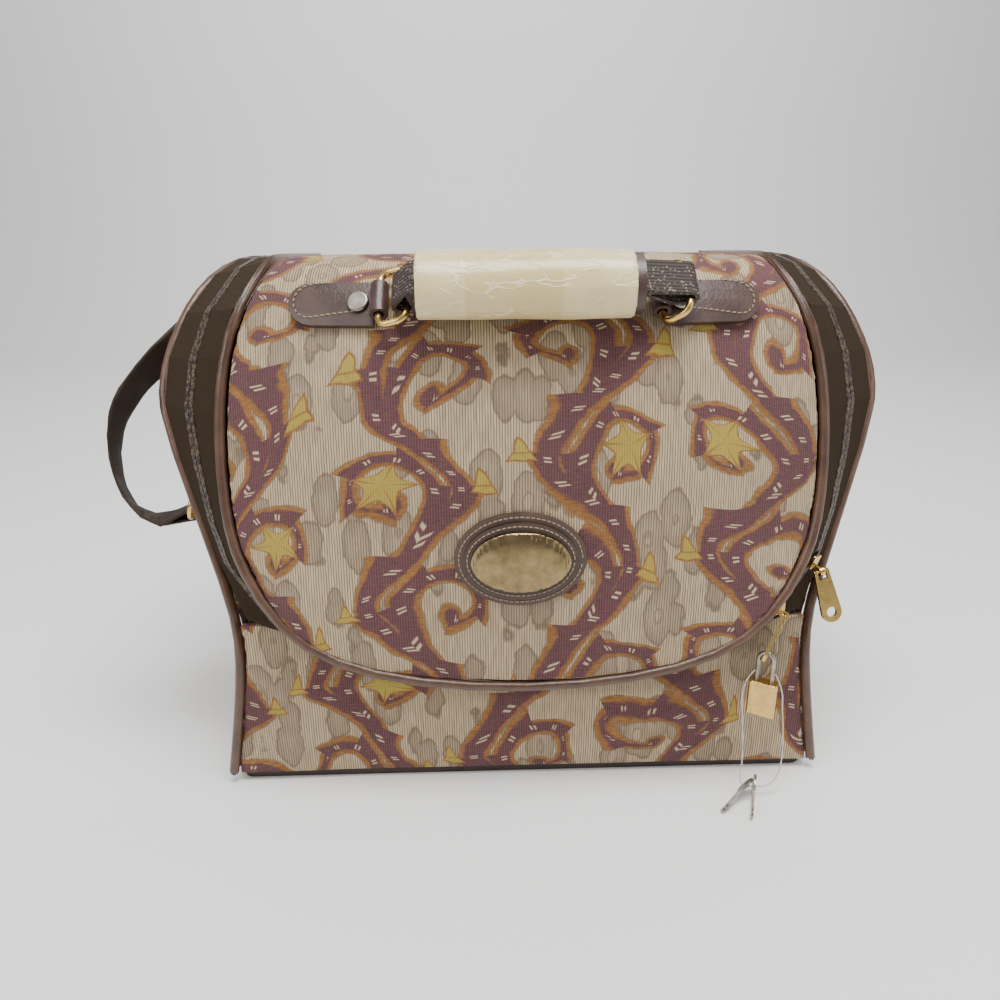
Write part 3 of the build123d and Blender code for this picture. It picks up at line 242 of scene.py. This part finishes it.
def tapestry(name):
    """Woven cloth; its UV map holds the place on the cloth in metres."""
    f = Finish(name, rough=0.92, specular=0.14, sheen=0.05)
    straight_u, straight_v, _ = f.axes("UV")
    u = straight_u + (f.noise(60, 1.0, source="UV") - 0.5) * 36.0
    v = straight_v + (f.noise(75, 1.0, source="UV", stretch=(1, 0.8, 1)) - 0.5) * 44.0
    column = (u / VINE_SPACING).math("FLOOR")
    in_u = u - (column + 0.5) * VINE_SPACING
    v = v + column * (0.37 * VINE_PERIOD)
    turn = v * (2 * pi / VINE_PERIOD)
    sway = turn.sin()
    lean = turn.math("COSINE") * (VINE_SWAY * 2 * pi / VINE_PERIOD)
    off_stem = (in_u - sway * VINE_SWAY) / (lean * lean + 1.0).math("SQRT")
    side = sway.math("SIGN")
    outside = (off_stem * side).math("GREATER_THAN", 0.0)
    thorn = v.part(0.25 * VINE_PERIOD).math("POWER", 4.0) * THORN_LENGTH
    step = (v / (0.5 * VINE_PERIOD)).math("FLOOR")
    in_v = v - (step + 0.5) * (0.5 * VINE_PERIOD)
    # The branch leaves the stem below the bend and winds inwards, thinning to a round bud
    curl_u = in_u * side + CURL_SHIFT
    radius = (curl_u * curl_u + in_v * in_v).math("SQRT")
    angle = in_v.math("ARCTAN2", curl_u)
    wound = ((angle - CURL_START) / (2 * pi)).math("FRACT")
    unwound = wound * -1.0 + 1.0
    path = unwound.math("POWER", 8.0) * CURL_FLARE + wound * -CURL_TIGHTENING + CURL_OUTER
    off_curl = radius - path
    hook = wound.part(0.2).math("POWER", 3.0) * off_curl.math("GREATER_THAN", 0.0) * CURL_HOOK
    curl_width = unwound.math("POWER", 0.7) * CURL_HALF_WIDTH
    bud_u = curl_u - (CURL_OUTER - CURL_TIGHTENING) * cos(CURL_START)
    bud_v = in_v - (CURL_OUTER - CURL_TIGHTENING) * sin(CURL_START)
    bud = (bud_u * bud_u + bud_v * bud_v).math("SQRT")
    points = (angle * 2.5).sin().size()
    starred = ((column * 2.0 + step) / 3.0).math("FRACT").math("LESS_THAN", 0.2)
    star = radius * (points * 1.05 + 1.0) + (starred * -1.0 + 1.0) * 99.0
    shoot_u = in_u * side - SHOOT_SHIFT
    shoot_radius = (shoot_u * shoot_u + in_v * in_v * 0.5).math("SQRT")
    shoot = shoot_radius * ((shoot_u.math("ARCTAN2", in_v) * 1.5).sin().size() * 0.9 + 0.75)
    # Ribbed cream ground with leaves woven in shade
    leafy = f.cells(25, source="UV", stretch=(0.66, 1.3, 1)) + (f.noise(9, 2.0, source="UV") - 0.5) * 0.26
    rib = (straight_u.part(RIB_PITCH) - 0.5).size().below(0.17, 0.10)
    weft = (straight_v.part(1.0) - 0.5).size() * 2.0
    slub = f.noise(1.5, 1.0, source="UV", stretch=(1, 9, 1))
    patchy = f.noise(60, 2.0, source="UV")
    colour = f.blend(CREAM_SHADE, CREAM, slub * 1.5 - 0.1)
    colour = f.blend(colour, TAUPE, leafy.below(0.47, 0.02) * (leafy * 1.3 + 0.05))
    colour = f.blend(colour, RIB, (leafy - 0.47).size().below(0.022, 0.014) * 0.5)
    colour = f.blend(colour, TAUPE, (leafy - 0.15).size().below(0.03, 0.02) * 0.6)
    colour = f.blend(colour, RIB, rib * (patchy * 0.9 + 0.2))
    # Vines: plum, shading to rust at the edges, with pale double dashes along the middle
    thread = f.noise(1.2, 1.0, source="UV", stretch=(3.5, 0.8, 1))
    warm = f.noise(38, 1.0, source="UV")
    body = f.blend(PLUM, WINE, thread * 1.6 - 0.3)
    body = f.blend(body, TAUPE, rib * 0.4)
    edge = f.blend(RUST, GOLD_THREAD, thread * 1.0 - 0.35)
    ragged = (f.noise(6, 2.0, source="UV") - 0.5) * 3.0
    swell = (f.noise(34, 1.0, source="UV") - 0.5) * 6.0
    vine = off_stem.size() - thorn * outside - VINE_HALF_WIDTH + swell
    curl = off_curl.size() - hook - curl_width + swell * 0.5
    both = vine.math("MINIMUM", curl).math("MINIMUM", bud - BULB_RADIUS) + ragged
    colour = f.blend(colour, RIB, both.below(OUTLINE + 0.6, 0.3) * 0.55)
    colour = f.blend(colour, edge, both.below(OUTLINE, 0.35))
    colour = f.blend(colour, body, both.below(warm * 3.0 - 1.9, 0.9))
    for middle, along in ((off_stem.size(), v), (off_curl.size(), wound * (2 * pi * 17.0))):
        dash = (along.part(DASH_PITCH) - 0.5) * DASH_PITCH
        pair = (dash.size() - 0.9).size().below(0.42, 0.2) * middle.below(1.7, 0.3)
        colour = f.blend(colour, CREAM, pair * both.below(-2.2, 0.5) * 0.95)
    # Gold star leaves with rust veins, in one curl of three, and small leaves outside the bends
    for leaf, limit, vein in ((star, STAR_RADIUS, points), (shoot, SHOOT_RADIUS, (in_v / 5.0).size())):
        ragged_leaf = leaf + ragged * 0.6
        colour = f.blend(colour, edge, ragged_leaf.below(limit + 1.3, 0.3))
        gold = f.blend(GOLD_THREAD, LEAF_GREEN, thread * 1.4 - 0.2)
        gold = f.blend(gold, RUST, vein.below(0.10, 0.05) * 0.7)
        colour = f.blend(colour, gold, ragged_leaf.below(limit, 0.35))
    colour = f.blend(colour, RIB, rib * 0.25)
    f.colour(f.blend(colour, (0.04, 0.03, 0.025), patchy.below(0.45, 0.2) * 0.16))
    f.bump(rib * -1.0 + weft * 0.45, 0.22, 0.75)
    f.bump(slub, 0.12, 0.5)
    raised = both.below(0.5, 0.8).math("MAXIMUM", star.below(STAR_RADIUS, 0.8))
    f.bump(raised, 0.4, 0.6)
    return f.material


def leather(name, colour, dark, rough=0.42, grain=1.6, coat=0.0):
    """Finished leather, with grain, soft wear and a little unevenness."""
    f = Finish(name, rough=rough, specular=0.5, coat=coat)
    f.shader.inputs["Coat Roughness"].default_value = 0.25
    wear = f.noise(14, 4.0)
    pores = f.cells(grain)
    f.colour(f.blend(dark, colour, wear * 1.7 - 0.35))
    f.roughness(rough - 0.08, rough + 0.16, wear)
    f.bump(pores, 0.16, 0.55)
    f.bump(f.noise(5, 3.0), 0.35, 0.35)
    return f.material


def metal(name, colour, dark, rough):
    """Plated metal, a little dulled, with fine rubbing."""
    f = Finish(name, rough=rough, metal=1.0)
    dull = f.noise(7, 5.0, 0.6)
    f.colour(f.blend(dark, colour, dull * 1.9 - 0.35))
    f.roughness(rough - 0.07, rough + 0.16, f.noise(2.2, 4.0, 0.65))
    f.bump(f.noise(0.8, 2.0), 0.03, 0.35)
    return f.material


WEAVE_PITCH = 0.9


def lining_cloth():
    f = Finish("plain lining cloth", rough=0.9, specular=0.2)
    x, y, z = f.axes()
    weave = (x + y).part(WEAVE_PITCH) * z.part(WEAVE_PITCH)
    f.colour(f.blend((0.10, 0.075, 0.055), (0.16, 0.125, 0.095), weave * 0.7 + f.noise(30) * 0.4))
    f.bump(weave, 0.15, 0.5)
    return f.material


def tape_cloth():
    """Herringbone zip tape."""
    f = Finish("herringbone zip tape", rough=0.85, specular=0.12)
    x, y, z = f.axes()
    along = z + y * 0.6
    zig = ((x + y * 0.7).part(3.4) - 0.5).size() * 3.4
    rows = (along + zig).part(1.3)
    f.colour(f.blend((0.012, 0.008, 0.005), (0.050, 0.033, 0.018), rows))
    f.bump(rows, 0.2, 0.6)
    return f.material


def coil_plastic():
    """Moulded zip coil, beaded along its length."""
    f = Finish("moulded zip coil", rough=0.42, specular=0.5)
    bead = f.cells(1.9)
    f.colour(f.blend((0.15, 0.095, 0.045), (0.012, 0.008, 0.006), bead * 1.7 - 0.1))
    f.bump(bead * -1.0, 0.7, 0.9)
    return f.material


def strap_cloth():
    """Woven strap webbing, with a close twill."""
    f = Finish("strap webbing", rough=0.7, specular=0.2)
    x, y, z = f.axes()
    twill = (x * 0.7 + z + y * 0.3).part(1.4)
    cross = (x - z * 0.6 + y * 0.8).part(2.2)
    f.colour(f.blend((0.018, 0.012, 0.009), (0.062, 0.042, 0.031), twill * 0.7 + cross * 0.3))
    f.bump(twill + cross * 0.5, 0.3, 0.6)
    return f.material


def handle_cloth():
    """Webbing with ribs along it and light specks."""
    f = Finish("ribbed handle webbing", rough=0.6, specular=0.3)
    x, y, z = f.axes()
    rib = ((y * 0.692 + z * 0.722).part(1.9) - 0.5).size() * 2.0
    speck = f.cells(1.5).below(0.3, 0.06) * f.noise(4.0, 1.0).math("GREATER_THAN", 0.47)
    colour = f.blend((0.016, 0.011, 0.009), (0.06, 0.042, 0.034), rib)
    f.colour(f.blend(colour, (0.34, 0.29, 0.23), speck * 0.6))
    f.bump(rib, 0.45, 0.8)
    return f.material


def sleeve_film(dark_from, dark_to):
    """Cream film wrapped over the grip, with a strip of darker tape round its middle."""
    f = Finish("cream sleeve film", rough=0.33, specular=0.5, coat=0.25)
    x, y, z = f.axes()
    taped = (x - 0.5 * (dark_from + dark_to)).size().below(0.5 * (dark_to - dark_from), 0.6)
    grime = f.noise(18, 4.0)
    colour = f.blend((0.56, 0.43, 0.19), (0.76, 0.64, 0.35), grime * 1.5 - 0.2)
    colour = f.blend(colour, (0.56, 0.42, 0.17), taped * 0.6)
    crease = (f.noise(11, 2.0, 0.5, stretch=(2.2, 0.7, 0.7)) - 0.5).size().below(0.012, 0.01)
    colour = f.blend(colour, (0.88, 0.80, 0.58), crease * 0.4)
    f.colour(colour)
    f.bump(crease, 0.35, 0.7)
    f.bump(f.noise(16, 3.0, stretch=(1.6, 0.8, 0.8)), 1.1, 0.5)
    return f.material


def clear_thread():
    f = Finish("clear nylon thread", rough=0.18, specular=0.6)
    f.colour(f.blend((0.62, 0.60, 0.58), (0.86, 0.85, 0.84), f.noise(3)))
    f.shader.inputs["Transmission Weight"].default_value = 0.55
    f.shader.inputs["IOR"].default_value = 1.5
    return f.material


def stitch_thread(name, colour):
    f = Finish(name, rough=0.7, specular=0.3)
    twist = f.noise(0.5, 1.0)
    f.colour(f.blend(tuple(0.5 * c for c in colour), colour, twist))
    f.bump(twist, 0.1, 0.5)
    return f.material


CLOTH = tapestry("tapestry cloth")
FINISHES = {
    # The base's very dark brown is partly its own colour and partly painted shade, standing in for the
    # shadowed band under the bag.
    "base_leather": leather("base leather, dark as painted shade", (0.05, 0.03, 0.022), (0.018, 0.011, 0.009)),
    "piping_leather": leather(
        "piping leather", BROWN_LEATHER, (0.040, 0.018, 0.011), 0.30, 1.2, 0.12
    ),
    "handle_leather": leather(
        "handle leather", (0.075, 0.036, 0.026), (0.026, 0.013, 0.011), 0.36, 1.5, 0.15
    ),
    "emblem_leather": leather(
        "badge leather", (0.085, 0.040, 0.024), (0.032, 0.016, 0.011), 0.38, 1.5, 0.1
    ),
    "emblem_inlay": leather(
        "badge inlay leather", (0.06, 0.028, 0.018), (0.024, 0.012, 0.009), 0.38, 1.3, 0.1
    ),
    "emblem_metal": metal("badge metal", (0.34, 0.25, 0.12), (0.13, 0.09, 0.045), 0.2),
    "brass": metal("brass", (0.80, 0.55, 0.19), (0.46, 0.29, 0.09), 0.2),
    "steel": metal("antique nickel", (0.46, 0.41, 0.35), (0.14, 0.115, 0.09), 0.30),
    "lining": lining_cloth(),
    "zip_tape": tape_cloth(),
    "zip_coil": coil_plastic(),
    "strap_webbing": strap_cloth(),
    "handle_webbing": handle_cloth(),
    "sleeve": sleeve_film(-28.0, 14.0),
    "thread": clear_thread(),
    "tapestry": CLOTH,
}
TAN_STITCH = stitch_thread("tan stitching", (0.42, 0.30, 0.19))

SLOT_OF = {entry["node"]: entry["material_slot"] for entry in frame["record"]["subparts"]}
BODY_OF = {
    node: body for body, nodes in frame["record"]["behaviour"]["bodies"].items() for node in nodes
}
for node, obj in frame["nodes"].items():
    obj.data.materials.clear()
    obj.data.materials.append(FINISHES[SLOT_OF[node]])


def finish_piece(name, shape, node, material=None, replaces=True):
    """Makes an object of a bmesh, riding where a CAD node rides."""
    mesh = bpy.data.meshes.new(name)
    shape.to_mesh(mesh)
    shape.free()
    obj = bpy.data.objects.new(name, mesh)
    bpy.context.collection.objects.link(obj)
    mesh.materials.append(material or FINISHES[SLOT_OF[node]])
    for face in mesh.polygons:
        face.use_smooth = True
    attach(obj, BODY_OF[node])
    if replaces:
        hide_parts(node)
    return obj


def node_copy(node):
    """The CAD node's mesh as a closed bmesh with its doubles merged."""
    shape = bmesh.new()
    shape.from_mesh(frame["nodes"][node].data)
    bmesh.ops.remove_doubles(shape, verts=shape.verts, dist=1e-5)
    bmesh.ops.dissolve_degenerate(shape, edges=shape.edges, dist=1e-6)
    return shape


def slice_up(shape, axis, pitch):
    """Cuts a mesh by planes square to an axis, so that cloth has points enough to bend."""
    low = min(v.co[axis] for v in shape.verts)
    high = max(v.co[axis] for v in shape.verts)
    normal = Vector((0, 0, 0))
    normal[axis] = 1.0
    at = low + 0.5 * pitch
    while at < high:
        point = normal * at
        everything = shape.verts[:] + shape.edges[:] + shape.faces[:]
        bmesh.ops.bisect_plane(shape, geom=everything, plane_co=point, plane_no=normal, dist=1e-6)
        at += pitch


def rounded(obj, levels):
    """Subdivision surface with the same level in view and render."""
    modifier = obj.modifiers.new("rounding", "SUBSURF")
    modifier.levels = levels
    modifier.render_levels = levels


# Nylon thread: the route of the source's points, in metres
THREAD_POINTS = [
    (121.4, -104.4, 70.0),
    (116.4, -106.8, 67.5),
    (113.6, -109.0, 57.0),
    (115.0, -111.4, 43.0),
    (116.0, -114.4, 21.0),
    (114.2, -116.6, 10.5),
    (116.4, -118.0, 6.4),
    (122.6, -117.6, 6.6),
    (129.0, -117.2, 5.4),
    (134.6, -116.6, 10.0),
    (137.4, -114.8, 20.0),
    (136.0, -115.0, 38.0),
    (133.0, -116.4, 54.0),
    (133.2, -114.2, 64.0),
    (130.5, -109.2, 70.0),
]
THREAD_RADIUS = 0.35


def hang_thread():
    data = bpy.data.curves.new("nylon_thread", "CURVE")
    data.dimensions = "3D"
    data.bevel_depth = THREAD_RADIUS * MM
    data.bevel_resolution = 3
    data.resolution_u = 16
    spline = data.splines.new("NURBS")
    spline.points.add(len(THREAD_POINTS) - 1)
    for point, place in zip(spline.points, THREAD_POINTS):
        point.co = (*(MM * c for c in place), 1.0)
    spline.order_u = 3
    spline.use_endpoint_u = True
    data.materials.append(FINISHES["thread"])
    obj = bpy.data.objects.new("nylon_thread", data)
    bpy.context.collection.objects.link(obj)
    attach(obj, "pull_front")
    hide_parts("key_thread")


hang_thread()


# Cloth panels
CLOTH_CELL = 7.5 * MM
LID_CELL = 12.0 * MM


def folds(point, size, along=(1, 1, 1)):
    """Soft noise from -1 to 1, with folds about the given size, in metres."""
    return noise.noise(Vector([point[i] / (size * along[i]) for i in range(3)]))


def edge_share(value, low, high, width):
    """0 at either end of a span, rising to 1 a width inside it."""
    near = min(value - low, high - value) / width
    return max(0.0, min(1.0, near))


def soften(node, name, move, cloth_place, pitches):
    """Replaces a panel by a finely cut copy, moved as cloth; its UV map is the place on the cloth."""
    shape = node_copy(node)
    for axis, pitch in enumerate(pitches):
        if pitch:
            slice_up(shape, axis, pitch)
    for vert in shape.verts:
        vert.co = vert.co + move(vert.co)
    uv = shape.loops.layers.uv.new("cloth")
    for face in shape.faces:
        for loop in face.loops:
            loop[uv].uv = cloth_place(loop.vert.co)
    rounded(finish_piece(name, shape, node), 1)


LID_LOW, LID_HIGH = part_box("lid_panel")
FRONT_LOW, FRONT_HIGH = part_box("front_lower_panel")
BACK_LOW, BACK_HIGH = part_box("back_panel")
SEAM_EASE = 0.05
LID_TURN_AT = 0.262
LID_TURN_OVER = 0.03
LID_TOP_SHARE = 0.55
SIDE_PUFF = 1.2
FRONT_HOLLOW = 0.8


def lid_move(p):
    """Puffs the lid between its seams, with puckers at the sewn edge."""
    front = max(0.0, min(1.0, (LID_TURN_AT - p.z) / LID_TURN_OVER))
    across = edge_share(p.x, LID_LOW.x, LID_HIGH.x, SEAM_EASE)
    up = max(0.0, min(1.0, (p.z - LID_LOW.z) / SEAM_EASE))
    soft = folds(p, 0.055, (1.0, 1.0, 0.8)) * 1.5 + folds(p + Vector((3, 1, 2)), 0.022) * 0.45
    pucker = folds(p, 0.012, (0.6, 1.0, 3.0)) * 0.55 * (1 - min(across, up))
    out = (min(across, up) + soft * 0.8 * min(1.0, across * 2) + pucker) * MM
    return Vector((0, -out * front, LID_TOP_SHARE * out * (1 - front)))


def lid_cloth(p):
    return (p.x + 0.013, p.z + p.y + 0.135)


def side_move(sign):
    low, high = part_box("side_panel_right" if sign > 0 else "side_panel_left")

    def move(p):
        across = edge_share(p.y, low.y, high.y, SEAM_EASE)
        up = edge_share(p.z, low.z, high.z, SEAM_EASE)
        inside = min(across, up)
        drag = folds(p, 0.05, (1, 1.4, 0.5)) * 1.7
        drag += folds(p + Vector((1, 5, 2)), 0.02, (1, 2.0, 0.6)) * 0.5
        return Vector((sign * (SIDE_PUFF * inside + drag * inside) * MM, 0, 0))

    return move


def front_move(p):
    """The lower front creases sideways under the lid's weight."""
    across = edge_share(p.x, FRONT_LOW.x, FRONT_HIGH.x, 0.03)
    up = edge_share(p.z, FRONT_LOW.z, FRONT_HIGH.z, 0.02)
    crease = folds(p, 0.03, (2.2, 1, 0.42)) * 2.0
    crease += folds(p + Vector((2, 2, 2)), 0.012, (2.5, 1, 0.6)) * 0.5
    return Vector((0, (-FRONT_HOLLOW * up - crease * min(1.0, 0.25 + up)) * across * MM, 0))


def back_move(p):
    across = edge_share(p.x, BACK_LOW.x, BACK_HIGH.x, SEAM_EASE)
    inside = min(across, edge_share(p.z, BACK_LOW.z, BACK_HIGH.z, 0.04))
    soft = folds(p, 0.06, (1.2, 1, 0.8)) * 1.4
    return Vector((0, (1.0 + soft) * inside * MM, 0))


def side_cloth(p):
    return (p.y + 0.3, p.z)


def front_cloth(p):
    return (p.x + 0.045, p.z - 0.05)


def back_cloth(p):
    return (p.x + 0.07, p.z + 0.03)


ACROSS_SIDE = (0, CLOTH_CELL, CLOTH_CELL)
ACROSS_FRONT = (CLOTH_CELL, 0, CLOTH_CELL)


def drape_panels():
    soften("lid_panel", "lid_cloth", lid_move, lid_cloth, (LID_CELL, LID_CELL, LID_CELL))
    for sign, node in ((1, "side_panel_right"), (-1, "side_panel_left")):
        soften(node, node + "_cloth", side_move(sign), side_cloth, ACROSS_SIDE)
    soften("front_lower_panel", "front_cloth", front_move, front_cloth, ACROSS_FRONT)
    soften("back_panel", "back_cloth", back_move, back_cloth, ACROSS_FRONT)


drape_panels()


# Piping, sleeve and strap: rounded copies of the solids
def round_over(node, name, cell=None, move=None):
    """Replaces a node by a subdivided copy, cut to a cell and moved where that is asked."""
    shape = node_copy(node)
    bmesh.ops.join_triangles(shape, faces=shape.faces, angle_face_threshold=radians(3),
                             angle_shape_threshold=radians(60))
    if cell:
        for axis, pitch in enumerate(cell):
            if pitch:
                slice_up(shape, axis, pitch)
    if move:
        for vert in shape.verts:
            vert.co = vert.co + move(vert.co)
    rounded(finish_piece(name, shape, node), 1)


for node in ("side_piping_left", "side_piping_right", "lid_piping"):
    round_over(node, node + "_smooth")


def crumple(p):
    """Film that has been wrapped by hand: long creases, the film standing a little off the grip all
    round.
    """
    deep = folds(p, 0.03, (0.9, 0.5, 0.5)) * 0.9
    deep += folds(p + Vector((4, 0, 1)), 0.012, (1.4, 0.5, 0.5)) * 0.4
    middle = Vector((p.x, SLEEVE_MIDDLE.y, SLEEVE_MIDDLE.z))
    away = p - middle
    return away.normalized() * (0.35 + deep * 0.6) * MM if away.length > 1e-6 else away


SLEEVE_LOW, SLEEVE_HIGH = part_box("handle_sleeve")
SLEEVE_MIDDLE = (SLEEVE_LOW + SLEEVE_HIGH) / 2
SLEEVE_CELL = (5 * MM, 4 * MM, 4 * MM)


def soft_twist(p):
    """Lets the strap wander a little along the bag."""
    return Vector((0.0, folds(p, 0.05) * 0.8 * MM, 0.0))


round_over("handle_sleeve", "sleeve_wrap", SLEEVE_CELL, crumple)
round_over("strap", "strap_soft", None, soft_twist)


STITCH_LENGTH = 1.9
STITCH_WIDTH = 0.55
STITCH_HEIGHT = 0.4
RAY_START = 0.05


def stitch(name, node, places, aim):
    """A row of sewn stitches; each one is laid along the row on the node's surface."""
    source = node_copy(node)
    tree = BVHTree.FromBMesh(source)
    source.free()
    shape = bmesh.new()
    for place, after in zip(places, places[1:]):
        middle = (place + after) / 2
        hit, normal, _, _ = tree.ray_cast(middle - aim * RAY_START, aim)
        if hit is None:
            continue
        along = (after - place).normalized()
        across = normal.cross(along).normalized()
        made = bmesh.ops.create_cube(shape, size=1.0)["verts"]
        for vert in made:
            at = vert.co
            step = along * (at.x * STITCH_LENGTH * MM) + across * (at.y * STITCH_WIDTH * MM)
            vert.co = hit + step + normal * ((0.5 + at.z) * STITCH_HEIGHT * MM)
    bmesh.ops.recalc_face_normals(shape, faces=shape.faces)
    finish_piece(name, shape, node, TAN_STITCH, replaces=False)


def evenly(points, pitch):
    """Points a pitch apart along a line."""
    placed = [points[0]]
    left = pitch
    for a, b in zip(points, points[1:]):
        run = (b - a).length
        while left <= run and run > 0:
            placed.append(a + (b - a) * (left / run))
            left += pitch
        left -= run
    return placed


INTO_BAG = Vector((0, 1, 0))
DOWN_SLOPE = Vector((0, 0.722, -0.692))
UP_SLOPE = Vector((0, 0.692, 0.722))
TAB_MIDDLE = Vector((0, -0.0868, 0.2632))
TAB_HALF_WIDTH = 0.011
TAB_LOOP = 0.013
TAB_INSET = 2.5 * MM
TAB_STITCH_PITCH = 2.9 * MM
BADGE_STITCH_PITCH = 2.6 * MM


def oval_row(node, inset):
    low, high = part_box(node)
    middle = (low + high) / 2
    half_x = (high.x - low.x) / 2 - inset
    half_z = (high.z - low.z) / 2 - inset
    ring = [radians(a) for a in range(0, 361, 4)]
    return [Vector((middle.x + half_x * cos(a), low.y, middle.z + half_z * sin(a))) for a in ring]


def tab_row(node, inset):
    """Line inside a handle tab's edge: down one side, round the outer end and back."""
    low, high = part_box(node)
    left = high.x < 0
    end = low.x + inset if left else high.x - inset
    start = (high.x - TAB_LOOP) if left else (low.x + TAB_LOOP)
    half = TAB_HALF_WIDTH - inset
    sign = -1 if left else 1
    corner = end - sign * half
    line = [Vector((start, 0, half)), Vector((corner, 0, half))]
    for a in range(15, 180, 15):
        line.append(Vector((corner + sign * half * sin(radians(a)), 0, half * cos(radians(a)))))
    line += [Vector((corner, 0, -half)), Vector((start, 0, -half))]
    return [Vector((p.x, 0, 0)) + TAB_MIDDLE + UP_SLOPE * p.z for p in line]


def sew():
    for node, inset, name in (
        ("emblem_patch_outer", 2.1 * MM, "badge_outer_stitching"),
        ("emblem_patch_inner", 1.6 * MM, "badge_inner_stitching"),
    ):
        stitch(name, node, evenly(oval_row(node, inset), BADGE_STITCH_PITCH), INTO_BAG)
    for node in ("handle_tab_left", "handle_tab_right"):
        stitch(node + "_stitching", node, evenly(tab_row(node, TAB_INSET), TAB_STITCH_PITCH), DOWN_SLOPE)


sew()


PLATE_CELL = 2.0 * MM
PLATE_CROWN = 2.2
PLATE_GROOVE = 0.5
PLATE_FRONT = 1.9 * MM


def dome_plate():
    """The badge's plate, crowned and with a turned rim."""
    shape = node_copy("emblem_plate")
    for axis in (0, 2):
        slice_up(shape, axis, PLATE_CELL)
    low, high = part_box("emblem_plate")
    middle = (low + high) / 2
    half = (high - low) / 2
    for vert in shape.verts:
        share = ((vert.co.x - middle.x) / half.x) ** 2 + ((vert.co.z - middle.z) / half.z) ** 2
        rise = PLATE_CROWN * max(0.0, 1.0 - share / 0.86) ** 0.6
        groove = PLATE_GROOVE if 0.80 < share < 0.90 else 0.0
        if vert.co.y < low.y + PLATE_FRONT:
            vert.co.y -= (rise - groove) * MM
    rounded(finish_piece("badge_dome", shape, "emblem_plate"), 1)


dome_plate()


# Floor and light
WALL_START = 1.6
WALL_BEND = 0.7


def lay_floor():
    """Seamless pale paper: a floor that turns up into a wall well behind the bag."""
    shape = bmesh.new()
    bmesh.ops.create_grid(shape, x_segments=4, y_segments=80, size=4.0)
    for vert in shape.verts:
        over = vert.co.y - WALL_START
        if over > 0:
            turned = min(over / WALL_BEND, pi / 2)
            vert.co.y = WALL_START + WALL_BEND * sin(turned)
            vert.co.z = WALL_BEND * (1 - cos(turned)) + max(0.0, over - WALL_BEND * pi / 2)
    mesh = bpy.data.meshes.new("floor")
    shape.to_mesh(mesh)
    shape.free()
    for face in mesh.polygons:
        face.use_smooth = True
    floor = bpy.data.objects.new("floor", mesh)
    bpy.context.collection.objects.link(floor)
    paper = Finish("pale floor", rough=0.6, specular=0.2)
    paper.colour((0.86, 0.855, 0.84))
    mesh.materials.append(paper.material)


def light(name, place, target, size, power, colour=(1, 1, 1)):
    data = bpy.data.lights.new(name, "AREA")
    data.shape = "RECTANGLE"
    data.size = size[0]
    data.size_y = size[1]
    data.energy = power
    data.color = colour
    lamp = bpy.data.objects.new(name, data)
    bpy.context.collection.objects.link(lamp)
    lamp.location = place
    lamp.rotation_mode = "QUATERNION"
    lamp.rotation_quaternion = (Vector(target) - Vector(place)).to_track_quat("-Z", "Y")


def light_studio():
    world = bpy.data.worlds.new("studio")
    world.use_nodes = True
    world.node_tree.nodes["Background"].inputs[0].default_value = (0.97, 0.97, 1.0, 1)
    world.node_tree.nodes["Background"].inputs[1].default_value = 0.42
    bpy.context.scene.world = world
    light("overhead", (0.1, -0.35, 1.3), (0, 0, 0.12), (0.8, 0.6), 24.0)
    light("left_window", (-1.1, -0.8, 0.9), (0, 0, 0.12), (0.8, 0.8), 9.0)
    light("right_fill", (1.2, -0.6, 0.6), (0, 0, 0.12), (0.7, 0.9), 4.0)
    light("wall_wash", (0, 0.9, 1.9), (0, 2.3, 0.5), (2.2, 0.5), 30.0)


lay_floor()
light_studio()
